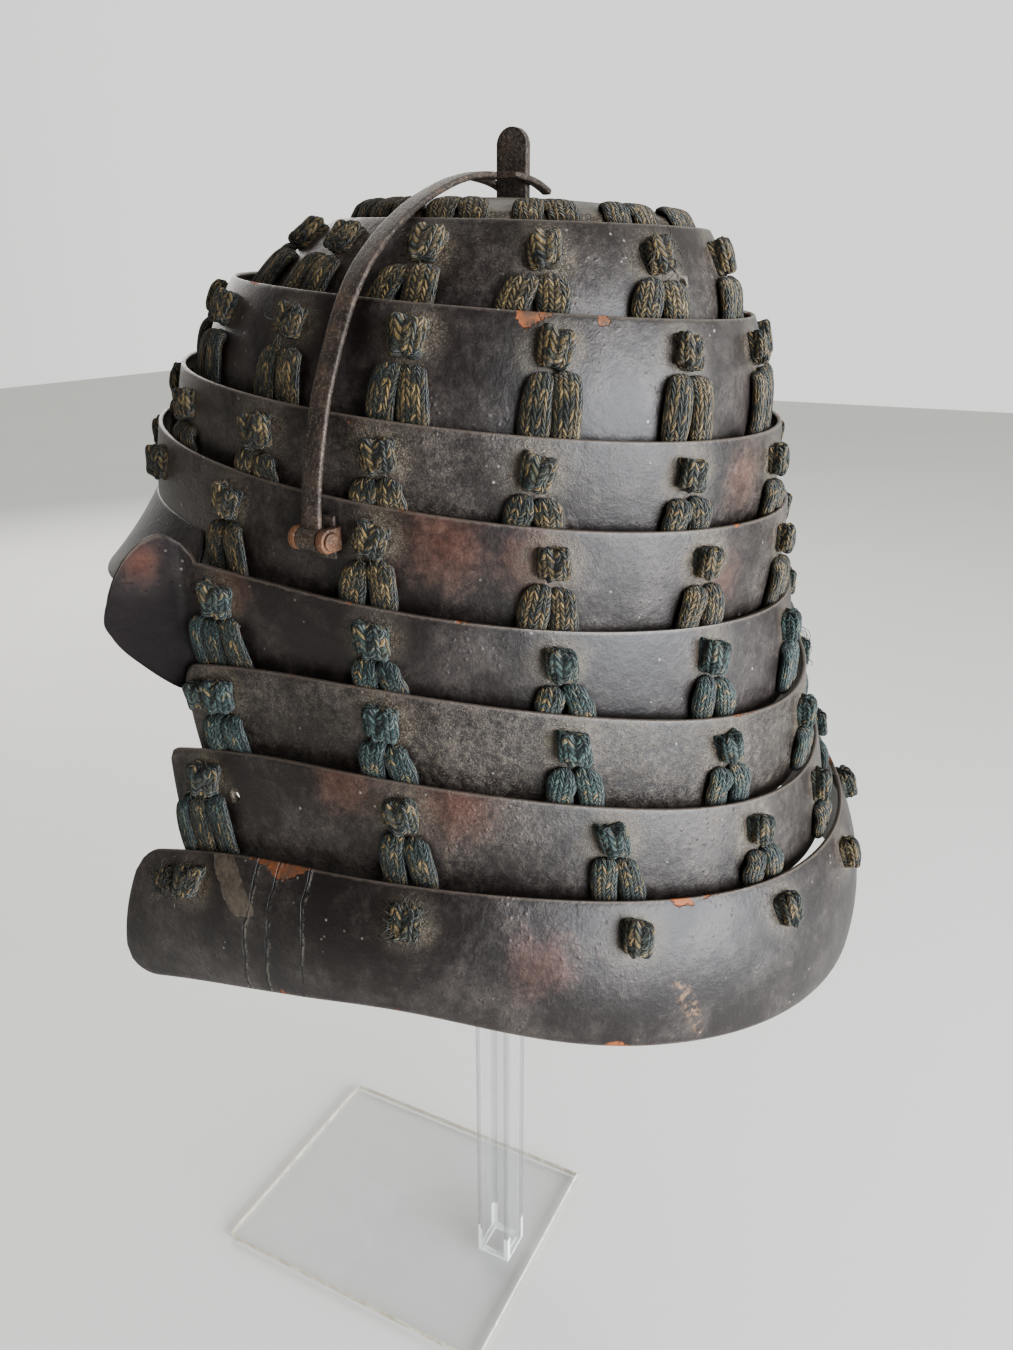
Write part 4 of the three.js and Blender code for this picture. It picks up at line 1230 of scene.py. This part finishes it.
def post_acrylic():
    """The tube's walls, clear like the plates, with painted shade in dark bands down its corners, and white
    dried cement round its foot.
    """
    material, wire = start_material("post_acrylic")
    spot = wire.place()
    x = spot.axis(0)
    y = spot.axis(1) - HELMET_Y * MM
    height = spot.axis(2)
    ragged = spot.noise(260, 4, 0.7) * 0.005 - 0.0025
    foot = (height + ragged).band(0.0064, 0.0058)
    inner = (POST_SIDE * 0.5 - POST_WALL) * MM
    from_middle = x.math("ABSOLUTE").math("MINIMUM", y.math("ABSOLUTE"))
    corner = from_middle.band(inner - 0.0002, inner + 0.0002)
    strip = corner * (height + ragged).band(0.0205, 0.0195)
    cement = foot.math("MAXIMUM", strip)
    streak = spot.noise(60, 3)
    # The four corners are darker and more solid: painted shade for the dark bands that refraction shows down
    # a clear tube's edges.
    colour = cement.blend(corner.blend((0.50, 0.50, 0.49), (0.24, 0.235, 0.23)), (0.88, 0.89, 0.87))
    solid = 0.05 + 0.05 * streak + 0.30 * corner
    solid = solid + (0.85 - solid) * cement
    finish_material(colour, 0.07 + 0.35 * cement + 0.08 * streak, Alpha=solid, IOR=1.49)
    return material


acrylic = clear_acrylic()
sawn = sawn_acrylic()


def acrylic_plate(name, size, y, bottom, node):
    """A plate of sheet acrylic with its corners eased and its edges left milky."""
    plate = block(name, size)
    plate.data.transform(Matrix.Translation(Vector((0, y, bottom + size[2] / 2)) * MM))
    ease_edges(plate, 0.5)
    plate.data.materials.append(acrylic)
    plate.data.materials.append(sawn)
    for face in plate.data.polygons:
        face.material_index = 1 if abs(face.normal.z) < 0.3 else 0
    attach(plate, "root")
    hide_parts(node)


acrylic_plate("base_plate", BASE, 0, 0, "stand_base")
acrylic_plate("rest_plate", REST, HELMET_Y, REST_TOP - REST[2], "stand_rest")

bpy.ops.object.select_all(action="DESELECT")
bpy.ops.mesh.primitive_plane_add(size=POST_SIDE * MM)
post = bpy.context.object
post.name = "post_tube"
post_foot = BASE[2] + POST_GAP
post_height = REST_TOP - REST[2] - POST_GAP - post_foot
bpy.ops.object.mode_set(mode="EDIT")
bpy.ops.mesh.select_all(action="SELECT")
bpy.ops.mesh.inset(thickness=POST_WALL * MM, depth=0)
bpy.ops.mesh.delete(type="FACE")
bpy.ops.mesh.select_all(action="SELECT")
bpy.ops.mesh.extrude_region_move(TRANSFORM_OT_translate={"value": (0, 0, post_height * MM)})
bpy.ops.mesh.select_all(action="SELECT")
bpy.ops.mesh.normals_make_consistent(inside=False)
bpy.ops.object.mode_set(mode="OBJECT")
post.data.transform(Matrix.Translation(Vector((0, HELMET_Y, post_foot)) * MM))
ease_edges(post, 0.4)
post.data.materials.append(post_acrylic())
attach(post, "root")
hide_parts("stand_post")

# ---- floor, light and camera ----
# A plain pale floor, soft light mostly from the back left of the wearer, and the camera.

bpy.ops.object.select_all(action="DESELECT")
bpy.ops.mesh.primitive_plane_add(size=8, location=(0, 0, -0.0006))
floor = bpy.context.object
floor.name = "floor"
bpy.ops.object.transform_apply(location=True, rotation=False, scale=False)
floor_material, wire = start_material("pale_floor")
spot = wire.place()
finish_material(spot.noise(3, 2).blend((0.70, 0.69, 0.66), (0.74, 0.73, 0.70)), 0.65)
floor.data.materials.append(floor_material)

world = bpy.data.worlds.new("studio")
bpy.context.scene.world = world
world.use_nodes = True
sky = Wire(world.node_tree)
heading = sky.node("ShaderNodeTexCoord", output="Generated")
west = heading.axis(0)
north = heading.axis(1)
shine = (north * 0.45 - west * 0.8).band(-0.45, 0.30).blend((0.26, 0.255, 0.25), (1.05, 1.07, 1.04))
background = world.node_tree.nodes["Background"]
world.node_tree.links.new(shine.socket, background.inputs["Color"])
background.inputs["Strength"].default_value = 0.95


def softbox(name, degrees, distance, height, width, depth, energy, colour):
    """A wide light at an angle from the helmet's front, turned to its middle."""
    bpy.ops.object.select_all(action="DESELECT")
    turn = math.radians(degrees)
    target = Vector((0, 0.05, 0.4))
    place = target + Vector((math.sin(turn) * distance, -math.cos(turn) * distance, height))
    bpy.ops.object.light_add(type="AREA", location=place)
    light = bpy.context.object
    light.name = name
    light.data.shape = "RECTANGLE"
    light.data.size = width
    light.data.size_y = depth
    light.data.energy = energy
    light.data.color = colour
    light.rotation_euler = (target - place).to_track_quat("-Z", "Y").to_euler()


softbox("window", 164, 1.7, 0.16, 1.8, 1.06, 78, (0.86, 0.93, 1.0))
softbox("fill", 325, 1.7, 0.7, 1.3, 1.3, 16, (1.0, 0.97, 0.94))

camera_turn = (math.radians(68.5), 0, math.radians(117))
bpy.ops.object.camera_add(location=(0.3452, 0.2363, 0.480), rotation=camera_turn)
camera = bpy.context.object
camera.data.sensor_width = 36
camera.data.lens = 27.04
camera.data.clip_start = 0.01
bpy.context.scene.camera = camera
bpy.context.scene.view_settings.look = "AgX - Medium High Contrast"
